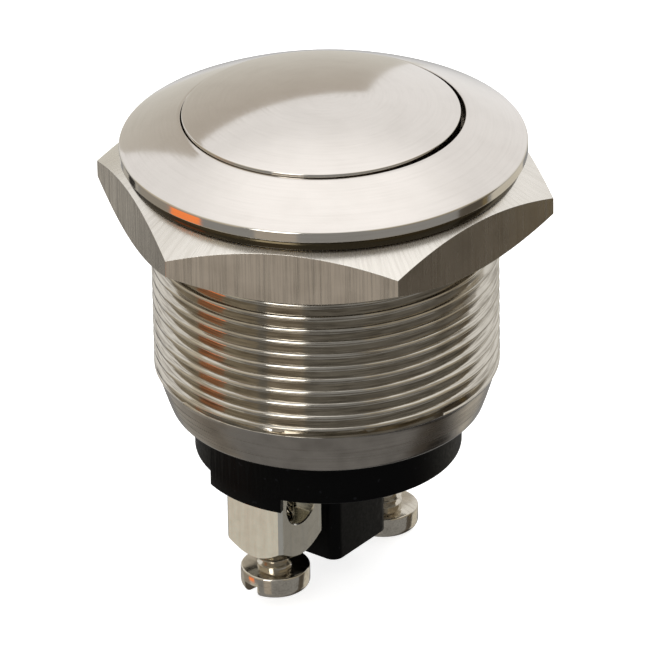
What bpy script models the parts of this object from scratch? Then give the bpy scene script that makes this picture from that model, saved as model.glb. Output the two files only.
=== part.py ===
"""Domed 19 mm metal pushbutton switch with two screw terminals.

Units are metres and +Z points out of the panel, through the button. The
origin is the centre of the panel face, where the gasket's lower face seats.
The two terminals stand on a line turned about Z by TERMINAL_TURN.
"""

import math

import bmesh
import bpy

MM = 0.001

# Threaded barrel, with the thread drawn as plain V grooves at its pitch
THREAD_RADIUS = 9.42 * MM
THREAD_LENGTH = 11.95 * MM
THREAD_PITCH = 0.75 * MM
THREAD_DEPTH = 0.46 * MM
THREAD_RUN_OUT = 0.45 * MM
THREAD_GROOVES = 15
BARREL_WALL = 1.12 * MM
BORE_RADIUS = THREAD_RADIUS - BARREL_WALL
SHOULDER_HEIGHT = 2.65 * MM
SHOULDER_ARC = 3.6 * MM
CRIMP_LAND = 0.6 * MM
CRIMP_CONE = 0.8 * MM

# Head of the switch
HEAD_OVERHANG = 1.58 * MM
BEZEL_RADIUS = THREAD_RADIUS + HEAD_OVERHANG
RIM_HEIGHT = 0.63 * MM
RIM_EDGE = 0.12 * MM
FACE_RISE = 1.49 * MM
FACE_CROWN = 0.065 * MM
LIP_WIDTH = 0.63 * MM
LIP_HEIGHT = 1.75 * MM
BUTTON_HOLE_RADIUS = BORE_RADIUS - LIP_WIDTH

# Panel gasket
GASKET_HEIGHT = 0.58 * MM
GASKET_INSET = 0.10 * MM
GASKET_GAP = 0.08 * MM

# Hex nut, as wide across its flats as the head
NUT_ACROSS_FLATS = 2 * BEZEL_RADIUS
NUT_THICKNESS = 3.2 * MM
NUT_FACE_INSET = 0.4 * MM
NUT_CHAMFER_START = NUT_ACROSS_FLATS / 2 - NUT_FACE_INSET
NUT_CHAMFER_ANGLE = math.radians(30)
NUT_CORNER_CUT = 0.12 * MM
NUT_CORNER_RADIUS = NUT_ACROSS_FLATS / math.sqrt(3) - NUT_CORNER_CUT
NUT_BORE_GAP = 0.25 * MM
NUT_BORE_CHAMFER = 0.45 * MM
NUT_TURN = math.radians(-11.3)

# Button cap
BUTTON_GAP = 0.22 * MM
BUTTON_RISE = 1.30 * MM
BUTTON_EDGE = 0.12 * MM
BUTTON_TRAVEL = 1.5 * MM
BUTTON_WALL = 1.25 * MM
BUTTON_CROWN = 2.4 * MM
FLANGE_HEIGHT = 0.9 * MM
BOSS_RADIUS = 2.6 * MM
BOSS_LENGTH = 2.6 * MM
SOCKET_DEPTH = 2.0 * MM

# Rubber rings in the bore
SEAL_WIRE_RADIUS = 0.45 * MM
SEAL_GAP = 0.15 * MM

# Plunger and guide bush
STEM_RADIUS = 1.5 * MM
STEM_TIP_RADIUS = 1.0 * MM
COLLAR_RADIUS = 2.5 * MM
COLLAR_HEIGHT = 0.8 * MM
BUSH_RIM_WIDTH = 1.1 * MM
BUSH_RIM_HEIGHT = 0.6 * MM
BUSH_PLATE = 1.4 * MM
GUIDE_TUBE_RADIUS = 2.9 * MM
GUIDE_TUBE_RISE = 1.2 * MM

# Springs
RETURN_WIRE_RADIUS = 0.3 * MM
RETURN_TURNS = 5
CONTACT_WIRE_RADIUS = 0.18 * MM
CONTACT_COIL_RADIUS = 1.85 * MM
CONTACT_SPRING_LENGTH = 2.3 * MM
CONTACT_TURNS = 4
SPRING_GAP = 0.1 * MM
CLOSED_PITCH = 1.1
POINTS_PER_TURN = 12

# Moving contact bridge, its two rivets and its clip
BRIDGE_THICKNESS = 0.5 * MM
BRIDGE_WIDTH = 3.2 * MM
BRIDGE_CORNER = 0.8 * MM
BRIDGE_HOLE_GAP = 0.3 * MM
RIVET_SHANK_RADIUS = 0.5 * MM
RIVET_HEAD_RADIUS = 1.1 * MM
RIVET_HEAD_HEIGHT = 0.4 * MM
RIVET_GAP = 0.1 * MM
RIVET_EDGE = 0.3 * MM
CLIP_THICKNESS = 0.4 * MM
CLIP_RADIUS = 1.9 * MM
CLIP_GROOVE_DEPTH = 0.35 * MM
CLIP_MOUTH = 1.5 * MM
TIP_LENGTH = 0.35 * MM

# Terminal base
BASE_STEP = 1.0 * MM
BASE_RADIUS = BORE_RADIUS - BASE_STEP
BASE_DROP = 2.6 * MM
CHAMBER_WALL = 1.4 * MM
SHROUD_DROP = 0.75 * MM
SHROUD_HALF_ANGLE = math.radians(18.6)
TERMINAL_TURN = math.radians(-37.5)

# General clearance between pieces that touch
CLEARANCE = 0.3 * MM
INNER_RADIUS = BORE_RADIUS - CLEARANCE
CHAMBER_RADIUS = INNER_RADIUS - CHAMBER_WALL

# Terminal posts, spread and sized to the chamber above them
POST_SPREAD = 1.5
POST_SPACING = POST_SPREAD * CHAMBER_RADIUS
POST_SHARE = 0.3586
POST_WIDTH = POST_SHARE * POST_SPACING
POST_EDGE = 0.35 * MM
POST_DROP = 4.45 * MM
POST_SINK = 0.8 * MM
POST_END_INSET = 0.155 * MM
POST_END_RADIUS = POST_WIDTH / 2 - POST_END_INSET
POST_GAP = 0.15 * MM
WIRE_HOLE_RADIUS = 1.2 * MM
WIRE_HOLE_DROP = 1.4 * MM
FIXED_HEAD_GAP = 0.25 * MM
FIXED_HEAD_RADIUS = CHAMBER_RADIUS - POST_SPACING / 2 - FIXED_HEAD_GAP
FIXED_HEAD_STEP = 0.1 * MM
STUD_RADIUS = FIXED_HEAD_RADIUS - FIXED_HEAD_STEP
RIVET_SHANK_LENGTH = 1.2 * MM

# Separator between the posts
SEPARATOR_GAP = 0.775 * MM
SEPARATOR_WIDTH = 4.4 * MM
SEPARATOR_DEPTH = POST_SPACING - POST_WIDTH - 2 * SEPARATOR_GAP
SEPARATOR_DROP = 5.85 * MM
SEPARATOR_CORNER = 0.6 * MM

# Terminal screws, M2 with a slotted cheese head
SCREW_RADIUS = 1.0 * MM
SCREW_LENGTH = 4.0 * MM
SCREW_HEAD_RADIUS = 1.9 * MM
SCREW_HEAD_HEIGHT = 1.3 * MM
SCREW_HEAD_EDGE = 0.35 * MM
SCREW_TIP_EDGE = 0.25 * MM
SLOT_WIDTH = 0.5 * MM
SLOT_DEPTH = 0.6 * MM
FRONT_SCREW_OPEN = 1.0 * MM
REAR_SCREW_OPEN = 1.75 * MM
FRONT_SLOT_TURN = math.radians(0)
REAR_SLOT_TURN = math.radians(70)

# Reach of a cutter past what it cuts, and the facets of round forms
OVERSHOOT = 1.0 * MM
MERGE = 0.002 * MM
LARGE_STEPS = 42
MEDIUM_STEPS = 28
SMALL_STEPS = 20

# Heights that follow from the sizes above
RIM_BOTTOM = GASKET_HEIGHT
RIM_TOP = RIM_BOTTOM + RIM_HEIGHT
HOLE_TOP = RIM_TOP + FACE_RISE
LIP_BOTTOM = HOLE_TOP - LIP_HEIGHT
BUTTON_RADIUS = BUTTON_HOLE_RADIUS - BUTTON_GAP
APEX = HOLE_TOP + BUTTON_RISE
SEAL_RADIUS = BORE_RADIUS - SEAL_GAP - SEAL_WIRE_RADIUS
SEAL_FLOOR = SEAL_RADIUS - SEAL_WIRE_RADIUS - SEAL_GAP
SEAL_SLOT = 2 * SEAL_WIRE_RADIUS + 2 * SEAL_GAP
FLANGE_TOP = LIP_BOTTOM - CLEARANCE
SEAL_TOP = FLANGE_TOP - FLANGE_HEIGHT
BUTTON_BOTTOM = SEAL_TOP - SEAL_SLOT - FLANGE_HEIGHT
BUTTON_CEILING = APEX - BUTTON_CROWN
BOSS_BOTTOM = BUTTON_CEILING - BOSS_LENGTH
SOCKET_TOP = BOSS_BOTTOM + SOCKET_DEPTH
BUSH_TOP = BUTTON_BOTTOM - BUTTON_TRAVEL - CLEARANCE
BUSH_SEAT = BUSH_TOP - BUSH_RIM_HEIGHT
BUSH_BOTTOM = BUSH_SEAT - BUSH_PLATE
COLLAR_TOP = BUSH_BOTTOM - CLEARANCE
COLLAR_BOTTOM = COLLAR_TOP - COLLAR_HEIGHT
BRIDGE_TOP = COLLAR_BOTTOM - CONTACT_SPRING_LENGTH
BRIDGE_BOTTOM = BRIDGE_TOP - BRIDGE_THICKNESS
BRIDGE_CONTACT_FACE = BRIDGE_BOTTOM - RIVET_GAP - RIVET_HEAD_HEIGHT
CLIP_TOP = BRIDGE_BOTTOM - RIVET_GAP
STEM_BOTTOM = CLIP_TOP - CLIP_THICKNESS - TIP_LENGTH
FIXED_CONTACT_FACE = BRIDGE_CONTACT_FACE - BUTTON_TRAVEL - CLEARANCE
POST_TOP = FIXED_CONTACT_FACE - RIVET_HEAD_HEIGHT - RIVET_GAP
CHAMBER_FLOOR = POST_TOP - 2 * RIVET_GAP
WALL_TOP = BUSH_BOTTOM - CLEARANCE
BODY_BOTTOM = -THREAD_LENGTH - SHOULDER_HEIGHT
BASE_BOTTOM = BODY_BOTTOM - BASE_DROP
POST_SHOULDER = BASE_BOTTOM + POST_SINK
POST_BOTTOM = BASE_BOTTOM - POST_DROP
TAPPED_TOP = BASE_BOTTOM - WIRE_HOLE_DROP + WIRE_HOLE_RADIUS


def pick_finish(name, colour, roughness, metallic):
    """Return a material with a Principled BSDF of this sRGB colour."""
    material = bpy.data.materials.new(name)
    material.use_nodes = True
    shader = material.node_tree.nodes["Principled BSDF"]
    channels = [int(colour[i:i + 2], 16) / 255 for i in (0, 2, 4)]
    linear = [c / 12.92 if c <= 0.04045 else ((c + 0.055) / 1.055) ** 2.4 for c in channels]
    shader.inputs["Base Color"].default_value = (*linear, 1)
    shader.inputs["Roughness"].default_value = roughness
    shader.inputs["Metallic"].default_value = metallic
    material.diffuse_color = (*linear, 1)
    return material


def nickel(name):
    """Nickel-plated brass: the body, nut, button, posts and screws."""
    return pick_finish(name + "_nickel", "C9C3BA", 0.28, 1.0)


def brass(name):
    """Bare brass of the contact bridge."""
    return pick_finish(name + "_brass", "C8A865", 0.35, 1.0)


def silver(name):
    """Silver of the contact rivets."""
    return pick_finish(name + "_silver", "D8D8D4", 0.3, 1.0)


def steel(name):
    """Spring steel of the springs and the clip."""
    return pick_finish(name + "_steel", "9A9A98", 0.35, 1.0)


def black_nylon(name):
    """Black moulded nylon of the terminal base."""
    return pick_finish(name + "_nylon", "101012", 0.5, 0.0)


def acetal(name):
    """Off-white acetal of the plunger and its guide bush."""
    return pick_finish(name + "_acetal", "DAD6CA", 0.45, 0.0)


def rubber(name):
    """Black nitrile rubber of the gasket and seal rings."""
    return pick_finish(name + "_rubber", "0C0C0D", 0.4, 0.0)


def add_object(name, mesh, material=None, smooth=True):
    """Link a mesh as an object of this name, shaded smooth where round."""
    if smooth:
        mesh.shade_smooth()
        mesh.set_sharp_from_angle(angle=math.radians(30))
    part = bpy.data.objects.new(name, mesh)
    bpy.context.scene.collection.objects.link(part)
    if material is not None:
        mesh.materials.append(material)
    return part


def add_empty(name, turn=0.0):
    """Add an empty on the switch's axis, turned about Z."""
    empty = bpy.data.objects.new(name, None)
    empty.rotation_euler = (0, 0, turn)
    bpy.context.scene.collection.objects.link(empty)
    return empty


def arc(centre, radius, start, end, steps):
    """Points of a profile's arc, as (radius, height), from start to end angle in degrees."""
    points = []
    for step in range(steps + 1):
        angle = math.radians(start + (end - start) * step / steps)
        points.append((centre[0] + radius * math.cos(angle), centre[1] + radius * math.sin(angle)))
    return points


def crowned(start, end, crown, steps):
    """Points of a shallow arc from start to end that stands proud of its chord by crown."""
    chord = math.dist(start, end)
    radius = (chord * chord / 4 + crown * crown) / (2 * crown)
    half = math.asin(chord / 2 / radius)
    along = ((end[0] - start[0]) / chord, (end[1] - start[1]) / chord)
    out = (along[1], -along[0])
    points = []
    for step in range(steps + 1):
        angle = half * (2 * step / steps - 1)
        shift = chord / 2 + radius * math.sin(angle)
        lift = radius * math.cos(angle) - (radius - crown)
        points.append((start[0] + along[0] * shift + out[0] * lift,
                       start[1] + along[1] * shift + out[1] * lift))
    return points


def turned_mesh(name, profile, steps):
    """Spin a closed (radius, height) profile about Z into one closed mesh."""
    turned = bmesh.new()
    ring = [turned.verts.new((radius, 0, height)) for radius, height in profile]
    edges = [turned.edges.new((ring[i], ring[(i + 1) % len(ring)])) for i in range(len(ring))]
    bmesh.ops.spin(turned, geom=ring + edges, cent=(0, 0, 0), axis=(0, 0, 1),
                   angle=math.tau, steps=steps, use_merge=False)
    bmesh.ops.remove_doubles(turned, verts=turned.verts, dist=MERGE)
    on_axis = [e for e in turned.edges if all(v.co.xy.length < MERGE for v in e.verts)]
    bmesh.ops.delete(turned, geom=on_axis, context='EDGES')
    bmesh.ops.recalc_face_normals(turned, faces=turned.faces)
    mesh = bpy.data.meshes.new(name)
    turned.to_mesh(mesh)
    turned.free()
    return mesh


def prism_mesh(name, outline, bottom, top):
    """Extrude an (x, y) outline from the bottom height to the top height."""
    prism = bmesh.new()
    face = prism.faces.new([prism.verts.new((x, y, bottom)) for x, y in outline])
    sides = bmesh.ops.extrude_face_region(prism, geom=[face])
    raised = [item for item in sides["geom"] if isinstance(item, bmesh.types.BMVert)]
    bmesh.ops.translate(prism, verts=raised, vec=(0, 0, top - bottom))
    bmesh.ops.recalc_face_normals(prism, faces=prism.faces)
    mesh = bpy.data.meshes.new(name)
    prism.to_mesh(mesh)
    prism.free()
    return mesh


def cut_corner_outline(width, depth, edge):
    """Outline of a rectangle whose four corners are cut off by edge."""
    x, y = width / 2, depth / 2
    return [(x, -y + edge), (x, y - edge), (x - edge, y), (-x + edge, y),
            (-x, y - edge), (-x, -y + edge), (-x + edge, -y), (x - edge, -y)]


def rounded_outline(width, depth, radius, steps):
    """Outline of a rectangle with rounded corners."""
    points = []
    for side, (sx, sy) in enumerate([(1, 1), (-1, 1), (-1, -1), (1, -1)]):
        centre = (sx * (width / 2 - radius), sy * (depth / 2 - radius))
        points += arc(centre, radius, 90 * side, 90 * side + 90, steps)
    return points


def rod_profile(radius, bottom, top):
    """Profile of a plain rod on the axis."""
    return [(0, bottom), (radius, bottom), (radius, top), (0, top)]


def ring_profile(inner, outer, bottom, top):
    """Profile of a plain ring about the axis."""
    return [(inner, bottom), (outer, bottom), (outer, top), (inner, top)]


def combine(part, tool, operation):
    """Give a part an exact Boolean with a tool, which stays out of the model."""
    tool.hide_render = True
    tool.display_type = 'WIRE'
    tool.parent = part
    modifier = part.modifiers.new(tool.name, 'BOOLEAN')
    modifier.operation = operation
    modifier.object = tool
    return part


def tool_object(name, mesh, x=0.0, y=0.0):
    """Make a cutter or a filler that stands at (x, y) in the part's own frame."""
    tool = add_object(name, mesh, smooth=False)
    tool.location = (x, y, 0)
    return tool


def coil(name, coil_radius, wire_radius, bottom, top, turns, material):
    """Wind a compression spring with closed ends between two heights."""
    low = bottom + wire_radius
    high = top - wire_radius
    closed = 2 * wire_radius * CLOSED_PITCH
    active = (high - low - 2 * closed) / (turns - 2)
    curve = bpy.data.curves.new(name, 'CURVE')
    curve.dimensions = '3D'
    curve.bevel_depth = wire_radius
    curve.bevel_resolution = 1
    curve.use_fill_caps = True
    spline = curve.splines.new('POLY')
    count = turns * POINTS_PER_TURN
    spline.points.add(count)
    for index in range(count + 1):
        turn = index / POINTS_PER_TURN
        if turn < 1:
            height = low + closed * turn
        elif turn > turns - 1:
            height = high - closed * (turns - turn)
        else:
            height = low + closed + active * (turn - 1)
        angle = math.tau * turn
        spline.points[index].co = (coil_radius * math.cos(angle), coil_radius * math.sin(angle), height, 1)
    curve.materials.append(material)
    spring = bpy.data.objects.new(name, curve)
    bpy.context.scene.collection.objects.link(spring)
    return spring


def shoulder_points():
    """The rolled shoulder from the end of the thread in to the crimped end."""
    sweep = math.degrees(math.asin(SHOULDER_HEIGHT / SHOULDER_ARC))
    return arc((THREAD_RADIUS - SHOULDER_ARC, -THREAD_LENGTH), SHOULDER_ARC, 0, -sweep, 5)


def thread_points():
    """The thread's grooves and crests, from the lowest crest up to the head."""
    lowest = -THREAD_LENGTH + THREAD_RUN_OUT
    points = [(THREAD_RADIUS, lowest)]
    for groove in range(THREAD_GROOVES):
        points.append((THREAD_RADIUS - THREAD_DEPTH, lowest + (groove + 0.5) * THREAD_PITCH))
        points.append((THREAD_RADIUS, lowest + (groove + 1) * THREAD_PITCH))
    return points


def build_body_shell():
    """Bezel and threaded barrel, turned as one hollow piece and rolled in at the bottom."""
    crimp_radius = BASE_RADIUS + CLEARANCE
    rim = arc((BEZEL_RADIUS - RIM_EDGE, RIM_TOP - RIM_EDGE), RIM_EDGE, 0, 62, 2)
    face = crowned(rim[-1], (BUTTON_HOLE_RADIUS + RIM_EDGE, HOLE_TOP), FACE_CROWN, 4)
    profile = [(THREAD_RADIUS, RIM_BOTTOM), (BEZEL_RADIUS, RIM_BOTTOM)]
    profile += rim + face[1:]
    profile += [(BUTTON_HOLE_RADIUS, HOLE_TOP - RIM_EDGE), (BUTTON_HOLE_RADIUS, LIP_BOTTOM),
                (BORE_RADIUS, LIP_BOTTOM), (BORE_RADIUS, BODY_BOTTOM + CRIMP_LAND + CRIMP_CONE),
                (crimp_radius, BODY_BOTTOM + CRIMP_LAND), (crimp_radius, BODY_BOTTOM)]
    profile += list(reversed(shoulder_points())) + thread_points()
    return add_object("body_shell", turned_mesh("body_shell", profile, LARGE_STEPS), nickel("body_shell"))


def build_gasket():
    """Flat rubber ring between the bezel and the panel."""
    inner = THREAD_RADIUS + CLEARANCE
    outer = BEZEL_RADIUS - GASKET_INSET
    top = RIM_BOTTOM - GASKET_GAP
    edge = top / 3
    profile = [(inner, 0), (outer - edge, 0), (outer, edge), (outer, top - edge), (outer - edge, top), (inner, top)]
    return add_object("panel_gasket", turned_mesh("panel_gasket", profile, LARGE_STEPS), rubber("panel_gasket"))


def build_nut():
    """Hexagon nut chamfered on both faces, run up against the gasket."""
    top = -GASKET_GAP
    bottom = top - NUT_THICKNESS
    drop = (NUT_CORNER_RADIUS - NUT_CHAMFER_START) * math.tan(NUT_CHAMFER_ANGLE)
    corner = NUT_ACROSS_FLATS / math.sqrt(3)
    outline = [(corner * math.cos(math.radians(a)), corner * math.sin(math.radians(a))) for a in range(0, 360, 60)]
    nut = add_object("hex_nut", prism_mesh("hex_nut", outline, bottom, top), nickel("hex_nut"))
    envelope = [(0, bottom - OVERSHOOT), (NUT_CHAMFER_START, bottom - OVERSHOOT), (NUT_CHAMFER_START, bottom),
                (NUT_CORNER_RADIUS, bottom + drop), (NUT_CORNER_RADIUS, top - drop),
                (NUT_CHAMFER_START, top), (NUT_CHAMFER_START, top + OVERSHOOT), (0, top + OVERSHOOT)]
    combine(nut, tool_object("nut_chamfers", turned_mesh("nut_chamfers", envelope, LARGE_STEPS)), 'INTERSECT')
    bore = THREAD_RADIUS + NUT_BORE_GAP
    mouth = bore + NUT_BORE_CHAMFER + OVERSHOOT
    cutter = [(0, bottom - OVERSHOOT), (mouth, bottom - OVERSHOOT), (bore, bottom + NUT_BORE_CHAMFER),
              (bore, top - NUT_BORE_CHAMFER), (mouth, top + OVERSHOOT), (0, top + OVERSHOOT)]
    combine(nut, tool_object("nut_bore", turned_mesh("nut_bore", cutter, LARGE_STEPS)), 'DIFFERENCE')
    nut.rotation_euler = (0, 0, NUT_TURN)
    return nut


def build_button():
    """Domed cap with its retaining flange, seal groove and plunger socket."""
    dome_radius = (BUTTON_RADIUS ** 2 + BUTTON_RISE ** 2) / (2 * BUTTON_RISE)
    sweep = math.degrees(math.asin((BUTTON_RADIUS - BUTTON_EDGE) / dome_radius))
    dome = arc((0, APEX - dome_radius), dome_radius, 90, 90 - sweep, 7)
    skirt_inside = BUTTON_RADIUS - BUTTON_WALL
    socket = STEM_RADIUS + CLEARANCE
    profile = [(0, APEX)] + dome[1:]
    profile += [(BUTTON_RADIUS, dome[-1][1] - BUTTON_EDGE), (BUTTON_RADIUS, FLANGE_TOP),
                (INNER_RADIUS, FLANGE_TOP), (INNER_RADIUS, SEAL_TOP), (SEAL_FLOOR, SEAL_TOP),
                (SEAL_FLOOR, SEAL_TOP - SEAL_SLOT), (INNER_RADIUS, SEAL_TOP - SEAL_SLOT),
                (INNER_RADIUS, BUTTON_BOTTOM), (skirt_inside, BUTTON_BOTTOM), (skirt_inside, BUTTON_CEILING),
                (BOSS_RADIUS, BUTTON_CEILING), (BOSS_RADIUS, BOSS_BOTTOM), (socket, BOSS_BOTTOM),
                (socket, SOCKET_TOP), (0, SOCKET_TOP)]
    return add_object("button_cap", turned_mesh("button_cap", profile, LARGE_STEPS), nickel("button_cap"))


def build_seal_ring(name, height):
    """Round-section rubber ring that runs in the bore."""
    profile = arc((SEAL_RADIUS, height), SEAL_WIRE_RADIUS, 0, 315, 7)
    return add_object(name, turned_mesh(name, profile, MEDIUM_STEPS), rubber(name))


def build_plunger():
    """Acetal stem pressed into the button, with a collar over the contact spring."""
    neck = STEM_TIP_RADIUS - CLIP_GROOVE_DEPTH
    groove_top = CLIP_TOP + RIVET_GAP / 2
    groove_bottom = CLIP_TOP - CLIP_THICKNESS - RIVET_GAP / 2
    top = SOCKET_TOP - CLEARANCE
    profile = [(0, top), (STEM_RADIUS, top), (STEM_RADIUS, COLLAR_TOP), (COLLAR_RADIUS, COLLAR_TOP),
               (COLLAR_RADIUS, COLLAR_BOTTOM), (STEM_TIP_RADIUS, COLLAR_BOTTOM), (STEM_TIP_RADIUS, groove_top),
               (neck, groove_top), (neck, groove_bottom), (STEM_TIP_RADIUS, groove_bottom),
               (STEM_TIP_RADIUS, STEM_BOTTOM + TIP_LENGTH / 3), (neck, STEM_BOTTOM), (0, STEM_BOTTOM)]
    return add_object("plunger", turned_mesh("plunger", profile, SMALL_STEPS), acetal("plunger"))


def build_guide_bush():
    """Acetal bush that guides the stem, seats the return spring and stops the button."""
    hole = STEM_RADIUS + CLEARANCE
    tube_top = BUSH_SEAT + GUIDE_TUBE_RISE
    rim_inside = INNER_RADIUS - BUSH_RIM_WIDTH
    profile = [(hole, BUSH_BOTTOM), (INNER_RADIUS, BUSH_BOTTOM), (INNER_RADIUS, BUSH_TOP), (rim_inside, BUSH_TOP),
               (rim_inside, BUSH_SEAT), (GUIDE_TUBE_RADIUS, BUSH_SEAT), (GUIDE_TUBE_RADIUS, tube_top),
               (hole, tube_top)]
    return add_object("guide_bush", turned_mesh("guide_bush", profile, MEDIUM_STEPS), acetal("guide_bush"))


def build_return_spring():
    """Spring between the bush and the button's ceiling."""
    radius = (GUIDE_TUBE_RADIUS + BUTTON_RADIUS - BUTTON_WALL) / 2
    return coil("return_spring", radius, RETURN_WIRE_RADIUS, BUSH_SEAT + SPRING_GAP,
                BUTTON_CEILING - SPRING_GAP, RETURN_TURNS, steel("return_spring"))


def build_contact_spring():
    """Small spring between the plunger's collar and the contact bridge."""
    return coil("contact_spring", CONTACT_COIL_RADIUS, CONTACT_WIRE_RADIUS, BRIDGE_TOP + SPRING_GAP,
                COLLAR_BOTTOM - SPRING_GAP, CONTACT_TURNS, steel("contact_spring"))


def build_bridge():
    """Brass bar that joins the two fixed contacts when the button is pressed."""
    reach = math.sqrt((CHAMBER_RADIUS - CLEARANCE) ** 2 - (BRIDGE_WIDTH / 2) ** 2)
    outline = rounded_outline(BRIDGE_WIDTH, 2 * reach, BRIDGE_CORNER, 4)
    bridge = add_object("contact_bridge", prism_mesh("contact_bridge", outline, BRIDGE_BOTTOM, BRIDGE_TOP),
                        brass("contact_bridge"))
    low, high = BRIDGE_BOTTOM - OVERSHOOT, BRIDGE_TOP + OVERSHOOT
    middle = turned_mesh("bridge_stem_hole", rod_profile(STEM_TIP_RADIUS + BRIDGE_HOLE_GAP, low, high), SMALL_STEPS)
    combine(bridge, tool_object("bridge_stem_hole", middle), 'DIFFERENCE')
    for name, side in SIDES:
        hole = turned_mesh("bridge_hole_" + name, rod_profile(RIVET_SHANK_RADIUS + RIVET_GAP, low, high), SMALL_STEPS)
        combine(bridge, tool_object("bridge_hole_" + name, hole, 0, side * POST_SPACING / 2), 'DIFFERENCE')
    return bridge


def build_bridge_contact(name, side):
    """Silver rivet through one end of the bridge, with its contact head underneath."""
    upset = BRIDGE_TOP + RIVET_GAP
    profile = [(0, BRIDGE_CONTACT_FACE), (RIVET_HEAD_RADIUS - RIVET_EDGE, BRIDGE_CONTACT_FACE),
               (RIVET_HEAD_RADIUS, BRIDGE_CONTACT_FACE + RIVET_HEAD_HEIGHT / 3),
               (RIVET_HEAD_RADIUS, BRIDGE_BOTTOM - RIVET_GAP), (RIVET_SHANK_RADIUS, BRIDGE_BOTTOM - RIVET_GAP),
               (RIVET_SHANK_RADIUS, upset), (RIVET_HEAD_RADIUS, upset),
               (RIVET_HEAD_RADIUS - RIVET_EDGE, upset + RIVET_HEAD_HEIGHT), (0, upset + RIVET_HEAD_HEIGHT)]
    node = "bridge_contact_" + name
    rivet = add_object(node, turned_mesh(node, profile, SMALL_STEPS), silver(node))
    rivet.location = (0, side * POST_SPACING / 2, 0)
    return rivet


def build_fixed_contact(name, side):
    """Silver rivet set in the top of one terminal post."""
    under = FIXED_CONTACT_FACE - RIVET_HEAD_HEIGHT
    profile = [(0, under - RIVET_SHANK_LENGTH), (RIVET_SHANK_RADIUS, under - RIVET_SHANK_LENGTH),
               (RIVET_SHANK_RADIUS, under), (FIXED_HEAD_RADIUS, under),
               (FIXED_HEAD_RADIUS, FIXED_CONTACT_FACE - RIVET_HEAD_HEIGHT / 3),
               (FIXED_HEAD_RADIUS - RIVET_EDGE, FIXED_CONTACT_FACE), (0, FIXED_CONTACT_FACE)]
    node = "fixed_contact_" + name
    rivet = add_object(node, turned_mesh(node, profile, SMALL_STEPS), silver(node))
    rivet.location = (0, side * POST_SPACING / 2, 0)
    return rivet


def build_bridge_clip():
    """Open snap ring in the stem's groove, under the bridge."""
    inner = STEM_TIP_RADIUS - CLIP_GROOVE_DEPTH + RIVET_GAP
    top, bottom = CLIP_TOP, CLIP_TOP - CLIP_THICKNESS
    mesh = turned_mesh("bridge_clip", ring_profile(inner, CLIP_RADIUS, bottom, top), SMALL_STEPS)
    clip = add_object("bridge_clip", mesh, steel("bridge_clip"))
    reach = CLIP_RADIUS + OVERSHOOT
    outline = [(0, -CLIP_MOUTH / 2), (reach, -CLIP_MOUTH / 2), (reach, CLIP_MOUTH / 2), (0, CLIP_MOUTH / 2)]
    gate = prism_mesh("clip_gate", outline, bottom - OVERSHOOT, top + OVERSHOOT)
    return combine(clip, tool_object("clip_gate", gate), 'DIFFERENCE')


def shroud_outline(side):
    """Sector of the base's rim that reaches down outside one post."""
    middle = 90 * side
    half = math.degrees(SHROUD_HALF_ANGLE)
    inner = POST_SPACING / 2
    outer = arc((0, 0), BASE_RADIUS, middle - half, middle + half, 8)
    return outer + arc((0, 0), inner, middle + half, middle - half, 3)


def build_base():
    """Black moulding: contact chamber above, terminal face, shrouds and separator below."""
    cone_top = BODY_BOTTOM + CRIMP_LAND + CRIMP_CONE + CLEARANCE
    groove_top = (WALL_TOP + CHAMBER_FLOOR + SEAL_SLOT) / 2
    profile = [(0, CHAMBER_FLOOR), (CHAMBER_RADIUS, CHAMBER_FLOOR), (CHAMBER_RADIUS, WALL_TOP),
               (INNER_RADIUS, WALL_TOP), (INNER_RADIUS, groove_top), (SEAL_FLOOR, groove_top),
               (SEAL_FLOOR, groove_top - SEAL_SLOT), (INNER_RADIUS, groove_top - SEAL_SLOT),
               (INNER_RADIUS, cone_top), (BASE_RADIUS, cone_top - CRIMP_CONE), (BASE_RADIUS, BASE_BOTTOM),
               (0, BASE_BOTTOM)]
    base = add_object("terminal_base", turned_mesh("terminal_base", profile, LARGE_STEPS),
                      black_nylon("terminal_base"))
    root = BASE_BOTTOM + POST_SINK / 2
    block = rounded_outline(SEPARATOR_WIDTH, SEPARATOR_DEPTH, SEPARATOR_CORNER, 4)
    separator = prism_mesh("separator", block, BASE_BOTTOM - SEPARATOR_DROP, root)
    combine(base, tool_object("separator", separator), 'UNION')
    pocket_width = POST_WIDTH + 2 * POST_GAP
    pocket = cut_corner_outline(pocket_width, pocket_width, POST_EDGE)
    for name, side in SIDES:
        y = side * POST_SPACING / 2
        shroud = prism_mesh("shroud_" + name, shroud_outline(side), BASE_BOTTOM - SHROUD_DROP, root)
        combine(base, tool_object("shroud_" + name, shroud), 'UNION')
        sink = prism_mesh("pocket_" + name, pocket, BASE_BOTTOM - SHROUD_DROP - OVERSHOOT, POST_SHOULDER + POST_GAP)
        combine(base, tool_object("pocket_" + name, sink, 0, y), 'DIFFERENCE')
        stud = rod_profile(STUD_RADIUS + POST_GAP, POST_SHOULDER, CHAMBER_FLOOR + OVERSHOOT)
        hole = turned_mesh("stud_hole_" + name, stud, SMALL_STEPS)
        combine(base, tool_object("stud_hole_" + name, hole, 0, y), 'DIFFERENCE')
    return base


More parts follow.
